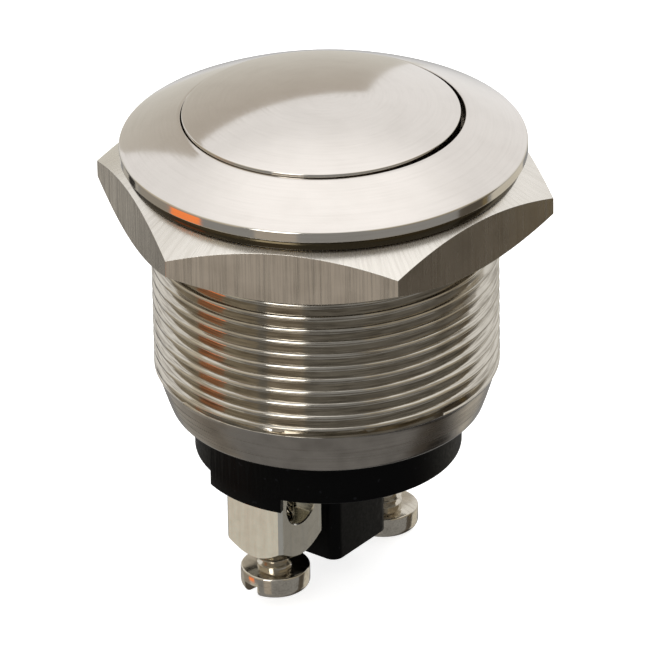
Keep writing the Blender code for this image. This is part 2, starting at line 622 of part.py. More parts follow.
def build_post(name, side):
    """Square nickel-plated post with a round stud, a wire hole and a tapped end."""
    node = "terminal_post_" + name
    outline = cut_corner_outline(POST_WIDTH, POST_WIDTH, POST_EDGE)
    post = add_object(node, prism_mesh(node, outline, POST_BOTTOM, POST_SHOULDER), nickel(node))
    cone = POST_WIDTH - POST_END_RADIUS
    envelope = [(0, POST_BOTTOM), (POST_END_RADIUS, POST_BOTTOM), (POST_WIDTH, POST_BOTTOM + cone),
                (POST_WIDTH, POST_SHOULDER + OVERSHOOT), (0, POST_SHOULDER + OVERSHOOT)]
    combine(post, tool_object("post_turning_" + name, turned_mesh("post_turning_" + name, envelope, MEDIUM_STEPS)),
            'INTERSECT')
    stud = turned_mesh("post_stud_" + name, rod_profile(STUD_RADIUS, POST_SHOULDER - POST_SINK / 2, POST_TOP),
                       SMALL_STEPS)
    combine(post, tool_object("post_stud_" + name, stud), 'UNION')
    shank = FIXED_CONTACT_FACE - RIVET_HEAD_HEIGHT - RIVET_SHANK_LENGTH - RIVET_GAP
    seat = turned_mesh("rivet_hole_" + name, rod_profile(RIVET_SHANK_RADIUS + RIVET_GAP, shank, POST_TOP + OVERSHOOT),
                       SMALL_STEPS)
    combine(post, tool_object("rivet_hole_" + name, seat), 'DIFFERENCE')
    tapped = turned_mesh("tapped_hole_" + name,
                         rod_profile(SCREW_RADIUS + POST_GAP, POST_BOTTOM - OVERSHOOT, TAPPED_TOP), SMALL_STEPS)
    combine(post, tool_object("tapped_hole_" + name, tapped), 'DIFFERENCE')
    drill = turned_mesh("wire_hole_" + name, rod_profile(WIRE_HOLE_RADIUS, -POST_WIDTH, POST_WIDTH), SMALL_STEPS)
    cross = tool_object("wire_hole_" + name, drill)
    cross.rotation_euler = (0, math.radians(90), 0)
    cross.location = (0, 0, BASE_BOTTOM - WIRE_HOLE_DROP)
    combine(post, cross, 'DIFFERENCE')
    post.location = (0, side * POST_SPACING / 2, 0)
    return post


def build_screw(name, side, opened, slot_turn):
    """Slotted cheese-head screw, as far out of its post as the photograph shows."""
    node = "terminal_screw_" + name
    seat = POST_BOTTOM - opened
    bottom = seat - SCREW_HEAD_HEIGHT
    tip = seat + SCREW_LENGTH
    edge = arc((SCREW_HEAD_RADIUS - SCREW_HEAD_EDGE, bottom + SCREW_HEAD_EDGE), SCREW_HEAD_EDGE, -90, 0, 4)
    profile = [(0, bottom)] + edge
    profile += [(SCREW_HEAD_RADIUS, seat), (SCREW_RADIUS, seat), (SCREW_RADIUS, tip - SCREW_TIP_EDGE),
                (SCREW_RADIUS - SCREW_TIP_EDGE, tip), (0, tip)]
    screw = add_object(node, turned_mesh(node, profile, SMALL_STEPS), nickel(node))
    reach = SCREW_HEAD_RADIUS + OVERSHOOT
    outline = [(-SLOT_WIDTH / 2, -reach), (SLOT_WIDTH / 2, -reach), (SLOT_WIDTH / 2, reach), (-SLOT_WIDTH / 2, reach)]
    slot = prism_mesh("screw_slot_" + name, outline, bottom - OVERSHOOT, bottom + SLOT_DEPTH)
    combine(screw, tool_object("screw_slot_" + name, slot), 'DIFFERENCE')
    screw.location = (0, side * POST_SPACING / 2, 0)
    screw.rotation_euler = (0, 0, slot_turn)
    return screw


def seat_on(parent, *parts):
    """Parent the parts to an empty, keeping each one's own place in that frame."""
    for part in parts:
        part.parent = parent


# The front terminal is on the -Y side of the terminal line, the rear one on the +Y side
SIDES = (("front", -1), ("rear", 1))


def main():
    """Clear the scene and build the switch."""
    for old in list(bpy.data.objects):
        bpy.data.objects.remove(old, do_unlink=True)
    build_body_shell()
    build_gasket()
    build_nut()
    build_guide_bush()
    build_return_spring()
    groove_middle = (WALL_TOP + CHAMBER_FLOOR) / 2
    build_seal_ring("base_seal_ring", groove_middle)
    press_axis = add_empty("press_axis", TERMINAL_TURN)
    terminal_line = add_empty("terminal_line", TERMINAL_TURN)
    seat_on(press_axis, build_button(), build_seal_ring("button_seal_ring", SEAL_TOP - SEAL_SLOT / 2),
            build_plunger(), build_contact_spring(), build_bridge(), build_bridge_clip())
    seat_on(terminal_line, build_base())
    openings = {"front": (FRONT_SCREW_OPEN, FRONT_SLOT_TURN), "rear": (REAR_SCREW_OPEN, REAR_SLOT_TURN)}
    for name, side in SIDES:
        seat_on(press_axis, build_bridge_contact(name, side))
        seat_on(terminal_line, build_fixed_contact(name, side), build_post(name, side),
                build_screw(name, side, *openings[name]))


main()
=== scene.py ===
"""Looks of a domed 19 mm metal pushbutton switch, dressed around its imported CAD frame.

Sizes are written in millimetres and MM turns them into the frame's metres. +Z points
out of the panel, through the button, and the origin is the centre of the panel face.
Azimuths are in degrees from -Y, the side of the photograph's camera, towards +X.
"""

import logging
import math
from collections.abc import Callable
from dataclasses import dataclass, field
from enum import Enum

import bmesh
import bpy
from mathutils import Matrix, Quaternion, Vector


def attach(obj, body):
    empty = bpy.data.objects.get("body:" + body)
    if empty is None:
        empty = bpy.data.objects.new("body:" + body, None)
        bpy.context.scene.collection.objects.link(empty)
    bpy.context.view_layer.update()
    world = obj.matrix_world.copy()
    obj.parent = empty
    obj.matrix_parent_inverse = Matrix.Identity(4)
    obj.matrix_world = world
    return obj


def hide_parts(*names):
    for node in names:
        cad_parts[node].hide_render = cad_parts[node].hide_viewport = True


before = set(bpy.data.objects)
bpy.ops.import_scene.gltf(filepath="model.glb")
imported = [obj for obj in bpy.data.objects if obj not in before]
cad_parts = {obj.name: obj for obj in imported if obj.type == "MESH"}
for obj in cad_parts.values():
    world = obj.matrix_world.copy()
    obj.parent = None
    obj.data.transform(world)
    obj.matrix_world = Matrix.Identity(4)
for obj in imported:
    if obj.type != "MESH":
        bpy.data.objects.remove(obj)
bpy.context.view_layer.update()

MM = 0.001
TERMINAL_TURN = math.radians(-37.5)
TERMINAL_SPACING = 9.9

# From which angle on an edge stays sharp, and is broken by soften.
SHARP_ANGLE = math.radians(32)
BROKEN_ANGLE = math.radians(35)

# How near corners are welded, and how near the wall of a thread a place counts as on it.
WELD = 0.0002 * MM
WALL_MARGIN = 0.005 * MM

# How far a cutting tool stands past the surface, and a joined part reaches into the other.
OVERSHOOT = 1.0
OVERLAP = 0.4

# How many columns a turned mesh has round the axis, from the large rounds to the smallest.
FINE_COLUMNS = 240
BASE_COLUMNS = 144
SMALL_COLUMNS = 96
HOLE_COLUMNS = 64
STUD_HOLE_COLUMNS = 48
RIVET_COLUMNS = 32

# Where a noise, which lies between 0 and 1, starts to tell and where it tells in full.
STAIN_ENDS = (0.42, 0.72)
MARK_ENDS = (0.45, 0.75)
GLOSS_ENDS = (0.3, 0.7)
SPECK_RANGE = 0.04
STAIN_DETAIL = 4.0
MARK_ROUGHNESS = 0.6
LEAST_ROUGHNESS = 0.02

# Turned and radial marks are laid out on a cylinder of this radius in millimetres.
MARK_ARM = 10.0

# The sizes of a Thread, in millimetres and in turns, that its Geometry Nodes take in.
LENGTHS = ("radius", "pitch", "depth", "bottom", "top", "run_out")
SHARES = ("phase", "crest_share", "root_share")

# Where a threaded mesh's rows lie over half a pitch, in turns, closest at crest and root.
HALF_PITCH = (0.0, 0.035, 0.12, 0.16, 0.3, 0.44, 0.47, 0.5)

log = logging.getLogger("switch")

Profile = list[tuple[float, float]]
Tree = bpy.types.NodeTree
Socket = bpy.types.NodeSocket
Piece = bpy.types.Object


class Grain(Enum):
    """How the marks of a tool or a mould run over a surface."""

    TURNED = "round the axis"
    DRAWN = "along the axis"
    RADIAL = "outwards from the axis"
    EVEN = "no direction"


class Side(Enum):
    """The two terminals, with the sign of their place along the terminal line."""

    FRONT = -1
    REAR = 1

    @property
    def label(self) -> str:
        """The side's name as the CAD nodes spell it."""
        return self.name.lower()

    @property
    def place(self) -> Matrix:
        """Where the terminal stands on the terminal line, from the axis."""
        return Matrix.Translation((0, self.value * TERMINAL_SPACING / 2 * MM, 0))


def linear(colour: str) -> tuple[float, float, float, float]:
    """Turn an sRGB hex colour into linear light.

    Args:
        colour: Six hex digits, with or without a hash.

    Returns:
        Red, green, blue and an alpha of 1.
    """
    digits = colour.lstrip("#")
    channels = [int(digits[i:i + 2], 16) / 255 for i in (0, 2, 4)]
    red, green, blue = (c / 12.92 if c <= 0.04045 else ((c + 0.055) / 1.055) ** 2.4 for c in channels)
    return red, green, blue, 1.0


def add(tree: Tree, kind: str, inputs: dict | None = None, **settings: object) -> Socket | None:
    """Add a node, set it up and link it.

    Args:
        tree: The tree that gets the node.
        kind: The node's type.
        inputs: A value or a socket to link, for each input by its name or number.
        **settings: The node's own properties.

    Returns:
        The node's first output, whose node gives the others, or None.
    """
    node = tree.nodes.new(kind)
    for name, value in settings.items():
        setattr(node, name, value)
    for key, value in (inputs or {}).items():
        if isinstance(value, Socket):
            tree.links.new(value, node.inputs[key])
        else:
            node.inputs[key].default_value = value
    return node.outputs[0] if node.outputs else None


def calc(tree: Tree, operation: str, *values: object, kind: str = "ShaderNodeMath",
         **settings: object) -> Socket:
    """Add a node that reckons with values or sockets."""
    return add(tree, kind, dict(enumerate(values)), operation=operation, **settings)


def vector(tree: Tree, operation: str, *values: object) -> Socket:
    """Add a vector math node, and give its Value where the operation measures."""
    made = calc(tree, operation, *values, kind="ShaderNodeVectorMath")
    return made.node.outputs["Value"] if operation in ("LENGTH", "DOT_PRODUCT") else made


def remap(tree: Tree, value: Socket, low: float | Socket, high: float | Socket,
          to_low: float = 0.0, to_high: float = 1.0, ease: str = "LINEAR") -> Socket:
    """Add a node that takes a value's range from low to high to another, and holds it there."""
    return add(tree, "ShaderNodeMapRange", {"Value": value, "From Min": low, "From Max": high,
                                            "To Min": to_low, "To Max": to_high}, interpolation_type=ease)


def noise(tree: Tree, place: Socket, size: float, detail: float, roughness: float = 0.5) -> Socket:
    """Add a noise whose features are size millimetres apart."""
    return add(tree, "ShaderNodeTexNoise", {"Vector": place, "Scale": 1 / (size * MM), "Detail": detail,
                                            "Roughness": roughness})


def polar(tree: Tree, place: Socket) -> tuple[Socket, Socket, Socket, Socket]:
    """Split a place into its cylindrical parts about Z.

    Args:
        tree: The tree that gets the nodes.
        place: The place.

    Returns:
        The place without its height, its radius, its angle and its height.
    """
    split = add(tree, "ShaderNodeSeparateXYZ", {0: place}).node.outputs
    flat = vector(tree, "MULTIPLY", place, (1, 1, 0))
    return flat, vector(tree, "LENGTH", flat), calc(tree, "ARCTAN2", split["Y"], split["X"]), split["Z"]


def seen_rays(tree: Tree) -> tuple[Socket, Socket]:
    """Tell by which rays a surface is seen.

    Args:
        tree: The tree that gets the nodes.

    Returns:
        Whether gloss or glass sees it, and whether these or the camera do.
    """
    rays = add(tree, "ShaderNodeLightPath").node.outputs
    mirrored = calc(tree, "MAXIMUM", rays["Is Glossy Ray"], rays["Is Transmission Ray"])
    return mirrored, calc(tree, "MAXIMUM", rays["Is Camera Ray"], mirrored)


def blank_material(name: str) -> bpy.types.Material:
    """Make a material whose node tree is still empty.

    Args:
        name: The material's name.

    Returns:
        The material.
    """
    material = bpy.data.materials.new(name)
    material.use_nodes = True
    material.node_tree.nodes.clear()
    return material


@dataclass(frozen=True)
class Finish:
    """A material and how its surface was made.

    The marks are the fine pattern that the tool or mould left, and the stains are
    the broad, faint changes of tone on top of it. Sizes are in millimetres.
    """

    name: str
    colour: str
    shade: str
    roughness: float
    grain: Grain
    mark_size: float
    mark_depth: float
    mark_tone: float = 0.25
    gloss_spread: float = 0.08
    stain_size: float = 3.0
    stain_tone: float = 0.2
    stretch: float = 0.02
    detail: float = 3.0

    def marks(self, tree: Tree) -> tuple[Socket, Socket]:
        """Lay out the noise of the marks along the grain.

        Args:
            tree: The material's node tree.

        Returns:
            The marks' noise, and the plain Object coordinates.
        """
        place = add(tree, "ShaderNodeTexCoord").node.outputs["Object"]
        along = place
        if self.grain is Grain.DRAWN:
            along = vector(tree, "MULTIPLY", place, (1, 1, self.stretch))
        elif self.grain is not Grain.EVEN:
            _, radius, turn, height = polar(tree, place)
            arm, keep = MARK_ARM * MM, self.stretch
            if self.grain is Grain.TURNED:
                arm, keep = arm * self.stretch, 1.0
            parts = ((radius, keep), (turn, arm), (height, keep))
            along = add(tree, "ShaderNodeCombineXYZ", {
                number: calc(tree, "MULTIPLY", *part) for number, part in enumerate(parts)})
        return noise(tree, along, self.mark_size, self.detail, MARK_ROUGHNESS), place

    def tone(self, tree: Tree, marks: Socket, place: Socket) -> Socket:
        """Mix marks and stains into how much of the shade shows, from 0 to 1.

        Args:
            tree: The material's node tree.
            marks: The noise of the marks.
            place: The Object coordinates.

        Returns:
            The share of the shade.
        """
        stains = noise(tree, place, self.stain_size, STAIN_DETAIL)
        broad = remap(tree, stains, *STAIN_ENDS, to_high=self.stain_tone)
        fine = remap(tree, marks, *MARK_ENDS, to_high=self.mark_tone)
        return calc(tree, "ADD", broad, fine, use_clamp=True)

    def own_values(self, shader: bpy.types.Node) -> None:
        """Set the values that are the same all over the surface."""

    def make(self) -> bpy.types.Material:
        """Build the material, or find it if it was built before.

        Returns:
            The material, ready to be given to a piece.
        """
        material = bpy.data.materials.get(self.name)
        if material is not None:
            return material
        material = bpy.data.materials.new(self.name)
        material.use_nodes = True
        material.diffuse_color = linear(self.colour)
        tree = material.node_tree
        shader = tree.nodes["Principled BSDF"]
        self.own_values(shader)
        marks, place = self.marks(tree)
        paint = add(tree, "ShaderNodeMix", {"Factor": self.tone(tree, marks, place)}, data_type="RGBA").node
        colours = [socket for socket in paint.inputs if socket.type == "RGBA"]
        colours[0].default_value, colours[1].default_value = linear(self.colour), linear(self.shade)
        least = max(self.roughness - self.gloss_spread, LEAST_ROUGHNESS)
        results = {
            "Base Color": next(socket for socket in paint.outputs if socket.type == "RGBA"),
            "Roughness": remap(tree, marks, *GLOSS_ENDS, least, self.roughness + self.gloss_spread),
            "Normal": add(tree, "ShaderNodeBump", {"Strength": 1.0, "Distance": self.mark_depth * MM,
                                                   "Height": marks})}
        for name, result in results.items():
            tree.links.new(result, shader.inputs[name])
        return material


@dataclass(frozen=True)
class Metal(Finish):
    """A metal, bare or plated, which keeps the shader's default IOR."""

    def own_values(self, shader: bpy.types.Node) -> None:
        """Set the shader up as metal."""
        shader.inputs["Metallic"].default_value = 1.0


@dataclass(frozen=True)
class Polymer(Finish):
    """A moulded plastic or rubber, with dust or filler that shows as fine pale specks."""

    ior: float = 1.5
    specular: float = 0.5
    # The tint of the gloss. Anything but white paints a colour into its reflections.
    painted_gloss_tint: str = "#FFFFFF"
    speck_size: float = 0.35
    speck_from: float = 0.71

    def own_values(self, shader: bpy.types.Node) -> None:
        """Set the polymer's gloss.

        Args:
            shader: The material's shader.
        """
        gloss = {"IOR": self.ior, "Specular IOR Level": self.specular, "Specular Tint": linear(self.painted_gloss_tint)}
        for name, value in gloss.items():
            shader.inputs[name].default_value = value

    def tone(self, tree: Tree, marks: Socket, place: Socket) -> Socket:
        """Add the specks to the marks and stains.

        Args:
            tree: The material's node tree.
            marks: The noise of the marks.
            place: The Object coordinates.

        Returns:
            The share of the shade.
        """
        broad = super().tone(tree, marks, place)
        dust = noise(tree, place, self.speck_size, 1.0)
        specks = remap(tree, dust, self.speck_from, self.speck_from + SPECK_RANGE)
        return calc(tree, "MAXIMUM", broad, specks)


# Satin nickel: the brass head is turned and brushed round before plating, so the eye
# sees a soft mirror with faint rings and hardly a scratch.
SATIN_FACE = Metal("satin_nickel_plate", "#DCD6D0", "#B4ADA5", 0.11, Grain.TURNED, 0.11, 0.00014,
                   mark_tone=0.1, gloss_spread=0.03, stain_size=2.2, stain_tone=0.14)

# Bright nickel over a fine-turned edge: a clean mirror with thin rings.
BRIGHT_EDGE = Metal("bright_nickel_plate", "#D5CFC5", "#A79F93", 0.1, Grain.TURNED, 0.06, 0.00015,
                    mark_tone=0.2, gloss_spread=0.04, stain_tone=0.12)

# Nickel over a cut thread: bright crests, with dull tool marks and grime in streaks round the axis.
CUT_THREAD = Metal("nickel_plated_thread", "#C8C2B7", "#746C5F", 0.1, Grain.TURNED, 0.085, 0.0018,
                   mark_tone=0.8, gloss_spread=0.06, stain_size=1.2, stain_tone=0.15, stretch=0.03)

# Nickel over the rolled shoulder, left satin by the rolling tool, with rings and a few
# cloudy patches where the plating took less well.
ROLLED_SHOULDER = Metal("rolled_nickel_plate", "#A69F96", "#5E574E", 0.24, Grain.TURNED, 0.22, 0.0006,
                        mark_tone=0.3, gloss_spread=0.08, stain_size=2.0, stain_tone=0.45)

# Nickel over the hexagon bar's drawn flats: straight die lines from face to face.
DRAWN_FLAT = Metal("nickel_plated_hex_bar", "#CFC8BE", "#857D71", 0.22, Grain.DRAWN, 0.14, 0.0006,
                   mark_tone=0.5, gloss_spread=0.08, stain_size=1.6, stain_tone=0.2)

# Nickel over the nut's turned chamfer, where the chatter of the tool left short marks
# that run outwards.
TURNED_CHAMFER = Metal("nickel_plated_chamfer", "#E4DFD7", "#A79F93", 0.27, Grain.RADIAL, 0.16, 0.0003,
                       mark_tone=0.25, gloss_spread=0.03, stain_tone=0.1, stretch=0.05)

# Nickel over milled square brass: smooth faces with small pits in the plating.
MILLED_POST = Metal("nickel_plated_square_bar", "#E4E1D6", "#A09A8A", 0.16, Grain.DRAWN, 0.3, 0.0004,
                    mark_tone=0.15, gloss_spread=0.04, stain_size=0.5, stain_tone=0.14, stretch=0.05)

# Bright nickel on the small steel screws, turned from wire.
SCREW_PLATE = Metal("nickel_plated_screw", "#CEC7BA", "#7D7567", 0.14, Grain.TURNED, 0.1, 0.0006,
                    mark_tone=0.3, gloss_spread=0.06, stain_size=0.7, stain_tone=0.3)

# Nitrile rubber, moulded in a polished tool: black with a wet gloss. The faint gold tint of
# that gloss is painted reflection colour.
NITRILE = Polymer("nitrile_rubber", "#060504", "#120F0A", 0.16, Grain.EVEN, 0.5, 0.002, mark_tone=0.1,
                  specular=0.8, painted_gloss_tint="#FFE6B4", stain_tone=0.1)

# Black nylon with a fine matt skin from the mould; it swallows nearly all the light.
BLACK_NYLON = Polymer("black_moulded_nylon", "#040404", "#17171A", 0.45, Grain.EVEN, 0.18, 0.004,
                      mark_tone=0.03, specular=0.05, stain_tone=0.04, ior=1.53)

# Natural acetal: off-white, waxy and slightly matt.
ACETAL = Polymer("natural_acetal", "#DAD6CA", "#C3BDAE", 0.42, Grain.EVEN, 0.25, 0.003, ior=1.48,
                 speck_from=0.9)

# Oil-tempered spring wire: drawn, dark and a little scored along its length.
SPRING_WIRE = Metal("spring_steel_wire", "#9C9A95", "#5C5A56", 0.3, Grain.TURNED, 0.1, 0.0008, mark_tone=0.4)

# Rolled brass strip, blanked in a press: warm yellow with straight rolling lines.
ROLLED_BRASS = Metal("rolled_brass_strip", "#CFAE6B", "#9A7C42", 0.3, Grain.DRAWN, 0.12, 0.0009, mark_tone=0.35)

# Fine silver of the contact rivets, headed cold and left a little grey by handling.
CONTACT_SILVER = Metal("contact_silver", "#DEDDD8", "#A3A29D", 0.25, Grain.EVEN, 0.2, 0.0009, mark_tone=0.3)


def arc(centre: tuple[float, float], radius: float, start: float, end: float, steps: int) -> Profile:
    """Points of a circle's arc.

    Args:
        centre: The arc's centre.
        radius: The arc's radius.
        start: The first point's angle in degrees.
        end: The last point's angle in degrees.
        steps: How many chords the arc has.

    Returns:
        The points, from start to end.
    """
    angles = [math.radians(start + (end - start) * step / steps) for step in range(steps + 1)]
    return [(centre[0] + radius * math.cos(a), centre[1] + radius * math.sin(a)) for a in angles]


def crowned(start: tuple[float, float], end: tuple[float, float], crown: float, steps: int) -> Profile:
    """Points of a shallow arc from start to end that stands proud of its chord.

    Args:
        start: The first point.
        end: The last point.
        crown: How far the arc's middle stands off the chord.
        steps: How many chords the arc has.

    Returns:
        The points, both ends included.
    """
    chord = math.dist(start, end)
    radius = (chord * chord / 4 + crown * crown) / (2 * crown)
    half = math.asin(chord / 2 / radius)
    along = ((end[0] - start[0]) / chord, (end[1] - start[1]) / chord)
    points = []
    for step in range(steps + 1):
        angle = half * (2 * step / steps - 1)
        shift = chord / 2 + radius * math.sin(angle)
        lift = radius * math.cos(angle) - (radius - crown)
        points.append((start[0] + along[0] * shift + along[1] * lift,
                       start[1] + along[1] * shift - along[0] * lift))
    return points


def stairs(radius: float, height: float, *turns: float) -> Profile:
    """Profile that goes on to a new radius and to a new height by turns.

    Args:
        radius: The first point's radius.
        height: The first point's height.
        *turns: The next radius, the next height, and so on.

    Returns:
        The points.
    """
    points = [(radius, height)]
    for number, value in enumerate(turns):
        radius, height = (radius, value) if number % 2 else (value, height)
        points.append((radius, height))
    return points


@dataclass(frozen=True)
class Thread:
    """A single-start right-hand thread on a cylinder, in millimetres.

    A negative depth cuts outwards, into the wall of a bore. The phase says where the
    crest crosses the +X direction, in turns.
    """

    radius: float
    pitch: float
    depth: float
    bottom: float
    top: float
    run_out: float
    phase: float = 0.0
    crest_share: float = 0.06
    root_share: float = 0.03

    def stations(self) -> list[float]:
        """Where the mesh's rows lie within one pitch, in turns."""
        return [*HALF_PITCH, *(1 - share for share in reversed(HALF_PITCH[1:-1]))]

    def rows(self, angles: list[float]) -> tuple[list[list[float]], int]:
        """Heights of rows that climb with the thread and stop at its two ends.

        Args:
            angles: The columns' angles round the axis.

        Returns:
            The heights of each column in millimetres, and the rows in one turn.
        """
        stations = self.stations()
        first = math.floor(self.bottom / self.pitch - self.phase) - 1
        last = math.ceil(self.top / self.pitch - self.phase) + 1
        turns = [whole + share for whole in range(first, last) for share in stations]
        heights = [[min(max(self.pitch * (turn + self.phase + angle / math.tau), self.bottom), self.top)
                    for turn in turns] for angle in angles]
        return heights, len(stations)


def thread_tree() -> Tree:
    """Build the Geometry Nodes that cut a thread into a cylinder whose rows climb with it.

    Returns:
        The tree, whose inputs are the sizes of a Thread and the thread's material.
    """
    name = "cut_thread"
    if name in bpy.data.node_groups:
        return bpy.data.node_groups[name]
    tree = bpy.data.node_groups.new(name, "GeometryNodeTree")
    sockets = [("Geometry", "INPUT", "Geometry"), *((size, "INPUT", "Float") for size in LENGTHS + SHARES),
               ("finish", "INPUT", "Material"), ("Geometry", "OUTPUT", "Geometry")]
    for label, way, kind in sockets:
        tree.interface.new_socket(name=label, in_out=way, socket_type="NodeSocket" + kind)
    given = add(tree, "NodeGroupInput").node.outputs
    flat, radius, angle, height = polar(tree, add(tree, "GeometryNodeInputPosition"))

    # How far a place is from the nearest crest, in turns, gives the share of the depth.
    climbed = calc(tree, "DIVIDE", height, given["pitch"])
    wound = calc(tree, "SUBTRACT", climbed, calc(tree, "DIVIDE", angle, math.tau))
    from_crest = calc(tree, "SUBTRACT", wound, given["phase"])
    offset = calc(tree, "SUBTRACT", from_crest, calc(tree, "ROUND", from_crest))
    root_start = calc(tree, "SUBTRACT", 0.5, given["root_share"])
    share = remap(tree, calc(tree, "ABSOLUTE", offset), given["crest_share"], root_start)

    # The cut runs out at both ends.
    low_end = calc(tree, "ADD", given["bottom"], given["run_out"])
    high_end = calc(tree, "SUBTRACT", given["top"], given["run_out"])
    rising = remap(tree, height, given["bottom"], low_end, ease="SMOOTHSTEP")
    fading = remap(tree, height, given["top"], high_end, ease="SMOOTHSTEP")
    cut = calc(tree, "MULTIPLY", share, calc(tree, "MULTIPLY", rising, fading))
    scale = calc(tree, "DIVIDE", calc(tree, "MULTIPLY", cut, given["depth"]), radius)
    inwards = calc(tree, "MULTIPLY", scale, -1.0)
    shift = add(tree, "ShaderNodeVectorMath", {0: flat, "Scale": inwards}, operation="SCALE")

    # Only the wall of the cylinder moves.
    off_wall = calc(tree, "ABSOLUTE", calc(tree, "SUBTRACT", radius, given["radius"]))
    on_wall = calc(tree, "LESS_THAN", off_wall, WALL_MARGIN, kind="FunctionNodeCompare")
    moved = add(tree, "GeometryNodeSetPosition", {"Geometry": given["Geometry"], "Selection": on_wall,
                                                  "Offset": shift})
    real = add(tree, "GeometryNodeRealizeInstances", {"Geometry": moved})

    # The thread's finish goes on what lies between crest and root, and between the ends.
    half_depth = calc(tree, "MULTIPLY", given["depth"], 0.5)
    mid_radius = calc(tree, "SUBTRACT", given["radius"], half_depth)
    mid_off = calc(tree, "ABSOLUTE", calc(tree, "SUBTRACT", radius, mid_radius))
    margin = calc(tree, "ADD", calc(tree, "ABSOLUTE", half_depth), WALL_MARGIN)
    near_wall = calc(tree, "LESS_THAN", mid_off, margin, kind="FunctionNodeCompare")
    above = calc(tree, "GREATER_THAN", height, given["bottom"], kind="FunctionNodeCompare")
    below = calc(tree, "LESS_THAN", height, given["top"], kind="FunctionNodeCompare")
    between = calc(tree, "AND", above, below, kind="FunctionNodeBooleanMath")
    threaded = calc(tree, "AND", near_wall, between, kind="FunctionNodeBooleanMath")
    dressed = add(tree, "GeometryNodeSetMaterial", {"Geometry": real, "Selection": threaded,
                                                    "Material": given["finish"]})
    add(tree, "NodeGroupOutput", {0: dressed})
    return tree


def apply(piece: Piece, kind: str, inputs: dict | None = None, **settings: object) -> None:
    """Give a piece a modifier and keep only its result, as one plain mesh.

    Args:
        piece: The piece that changes.
        kind: The modifier's type.
        inputs: The values of a node group's inputs, by identifier.
        **settings: The modifier's own properties.
    """
    modifier = piece.modifiers.new(kind.lower(), kind)
    for name, value in settings.items():
        setattr(modifier, name, value)
    for identifier, value in (inputs or {}).items():
        modifier[identifier] = value
    mesh = bpy.data.meshes.new_from_object(piece.evaluated_get(bpy.context.evaluated_depsgraph_get()))
    piece.modifiers.clear()
    piece.data = mesh


def cut_thread(piece: Piece, thread: Thread, finish: Finish) -> None:
    """Cut a thread into a piece whose mesh has the thread's climbing rows.

    Args:
        piece: The turned piece.
        thread: The thread's sizes.
        finish: The finish of the threaded faces.
    """
    tree = thread_tree()
    values = {name: getattr(thread, name) * MM for name in LENGTHS}
    values |= {name: getattr(thread, name) for name in SHARES} | {"finish": finish.make()}
    inputs = {item.identifier: values[item.name] for item in tree.interface.items_tree if item.name in values}
    apply(piece, "NODES", inputs, node_group=tree)


def add_piece(name: str, data: bpy.types.ID) -> Piece:
    """Link an object at the origin.

    Args:
        name: The object's name.
        data: Its mesh, lamp or camera.

    Returns:
        The object.
    """
    piece = bpy.data.objects.new(name, data)
    bpy.context.scene.collection.objects.link(piece)
    return piece


def weld(name: str, vertices: list, faces: list) -> Piece:
    """Make a closed piece, with its loose corners welded and its faces turned outwards.

    Args:
        name: The piece's name.
        vertices: Corners in millimetres.
        faces: Corner numbers of each face.

    Returns:
        The piece, in metres.
    """
    mesh = bpy.data.meshes.new(name)
    mesh.from_pydata([[c * MM for c in corner] for corner in vertices], [], faces)
    welded = bmesh.new()
    welded.from_mesh(mesh)
    bmesh.ops.remove_doubles(welded, verts=welded.verts, dist=WELD)
    bmesh.ops.recalc_face_normals(welded, faces=welded.faces)
    welded.to_mesh(mesh)
    welded.free()
    return add_piece(name, mesh)


def stitch(start: int, rows: int, count: int, climb: int = 0) -> list[tuple[int, int, int, int]]:
    """Faces between columns of corners that stand in a ring.

    Args:
        start: The first corner's number.
        rows: How many corners a column has.
        count: How many columns there are.
        climb: How many rows up the last column meets the first.

    Returns:
        Corner numbers of each face.
    """
    faces = []
    for i in range(count):
        shift = climb if i == count - 1 else 0
        here, there = start + i * rows, start + (i + 1) % count * rows + shift
        faces += [(here + r, there + r, there + r + 1, here + r + 1) for r in range(rows - 1 - shift)]
    return faces


def add_thread_wall(vertices: list, faces: list, thread: Thread, angles: list[float]) -> None:
    """Add a wall whose rows climb with a thread.

    Args:
        vertices: The mesh's corners in millimetres, which grow.
        faces: Corner numbers of each face, which grow.
        thread: The thread.
        angles: The columns' angles round the axis.
    """
    heights, per_turn = thread.rows(angles)
    start = len(vertices)
    for angle, column in zip(angles, heights):
        vertices += [(thread.radius * math.cos(angle), thread.radius * math.sin(angle), z) for z in column]
    faces += stitch(start, len(heights[0]), len(angles), per_turn)


def turned(name: str, profile: Profile, columns: int = FINE_COLUMNS, thread: Thread | None = None) -> Piece:
    """Turn a closed (radius, height) profile about Z.

    Args:
        name: The piece's name.
        profile: The closed profile, in millimetres. With a thread, one of its sides runs
            from (thread.radius, thread.top) to (thread.radius, thread.bottom) or back.
        columns: How many columns the round has.
        thread: The thread whose climbing rows replace that side.

    Returns:
        The piece, in metres.
    """
    angles = [math.tau * column / columns for column in range(columns)]
    vertices, faces = [(r * math.cos(a), r * math.sin(a), z) for r, z in profile for a in angles], []
    ends = {(thread.radius, thread.top), (thread.radius, thread.bottom)} if thread else set()
    for index, point in enumerate(profile):
        following = (index + 1) % len(profile)
        if {point, profile[following]} != ends:
            ring, other = index * columns, following * columns
            faces += [(ring + i, ring + (i + 1) % columns, other + (i + 1) % columns, other + i)
                      for i in range(columns)]
    if thread:
        add_thread_wall(vertices, faces, thread, angles)
    return weld(name, vertices, faces)


def prism(name: str, outline: Profile, bottom: float, top: float) -> Piece:
    """Extrude an (x, y) outline between two heights.

    Args:
        name: The piece's name.
        outline: The outline's corners, in millimetres.
        bottom: The lower height.
        top: The upper height.

    Returns:
        The piece, in metres.
    """
    count = len(outline)
    vertices = [(x, y, bottom) for x, y in outline] + [(x, y, top) for x, y in outline]
    faces = [tuple(range(count)), tuple(range(count, 2 * count))]
    faces += [(i, (i + 1) % count, (i + 1) % count + count, i + count) for i in range(count)]
    return weld(name, vertices, faces)


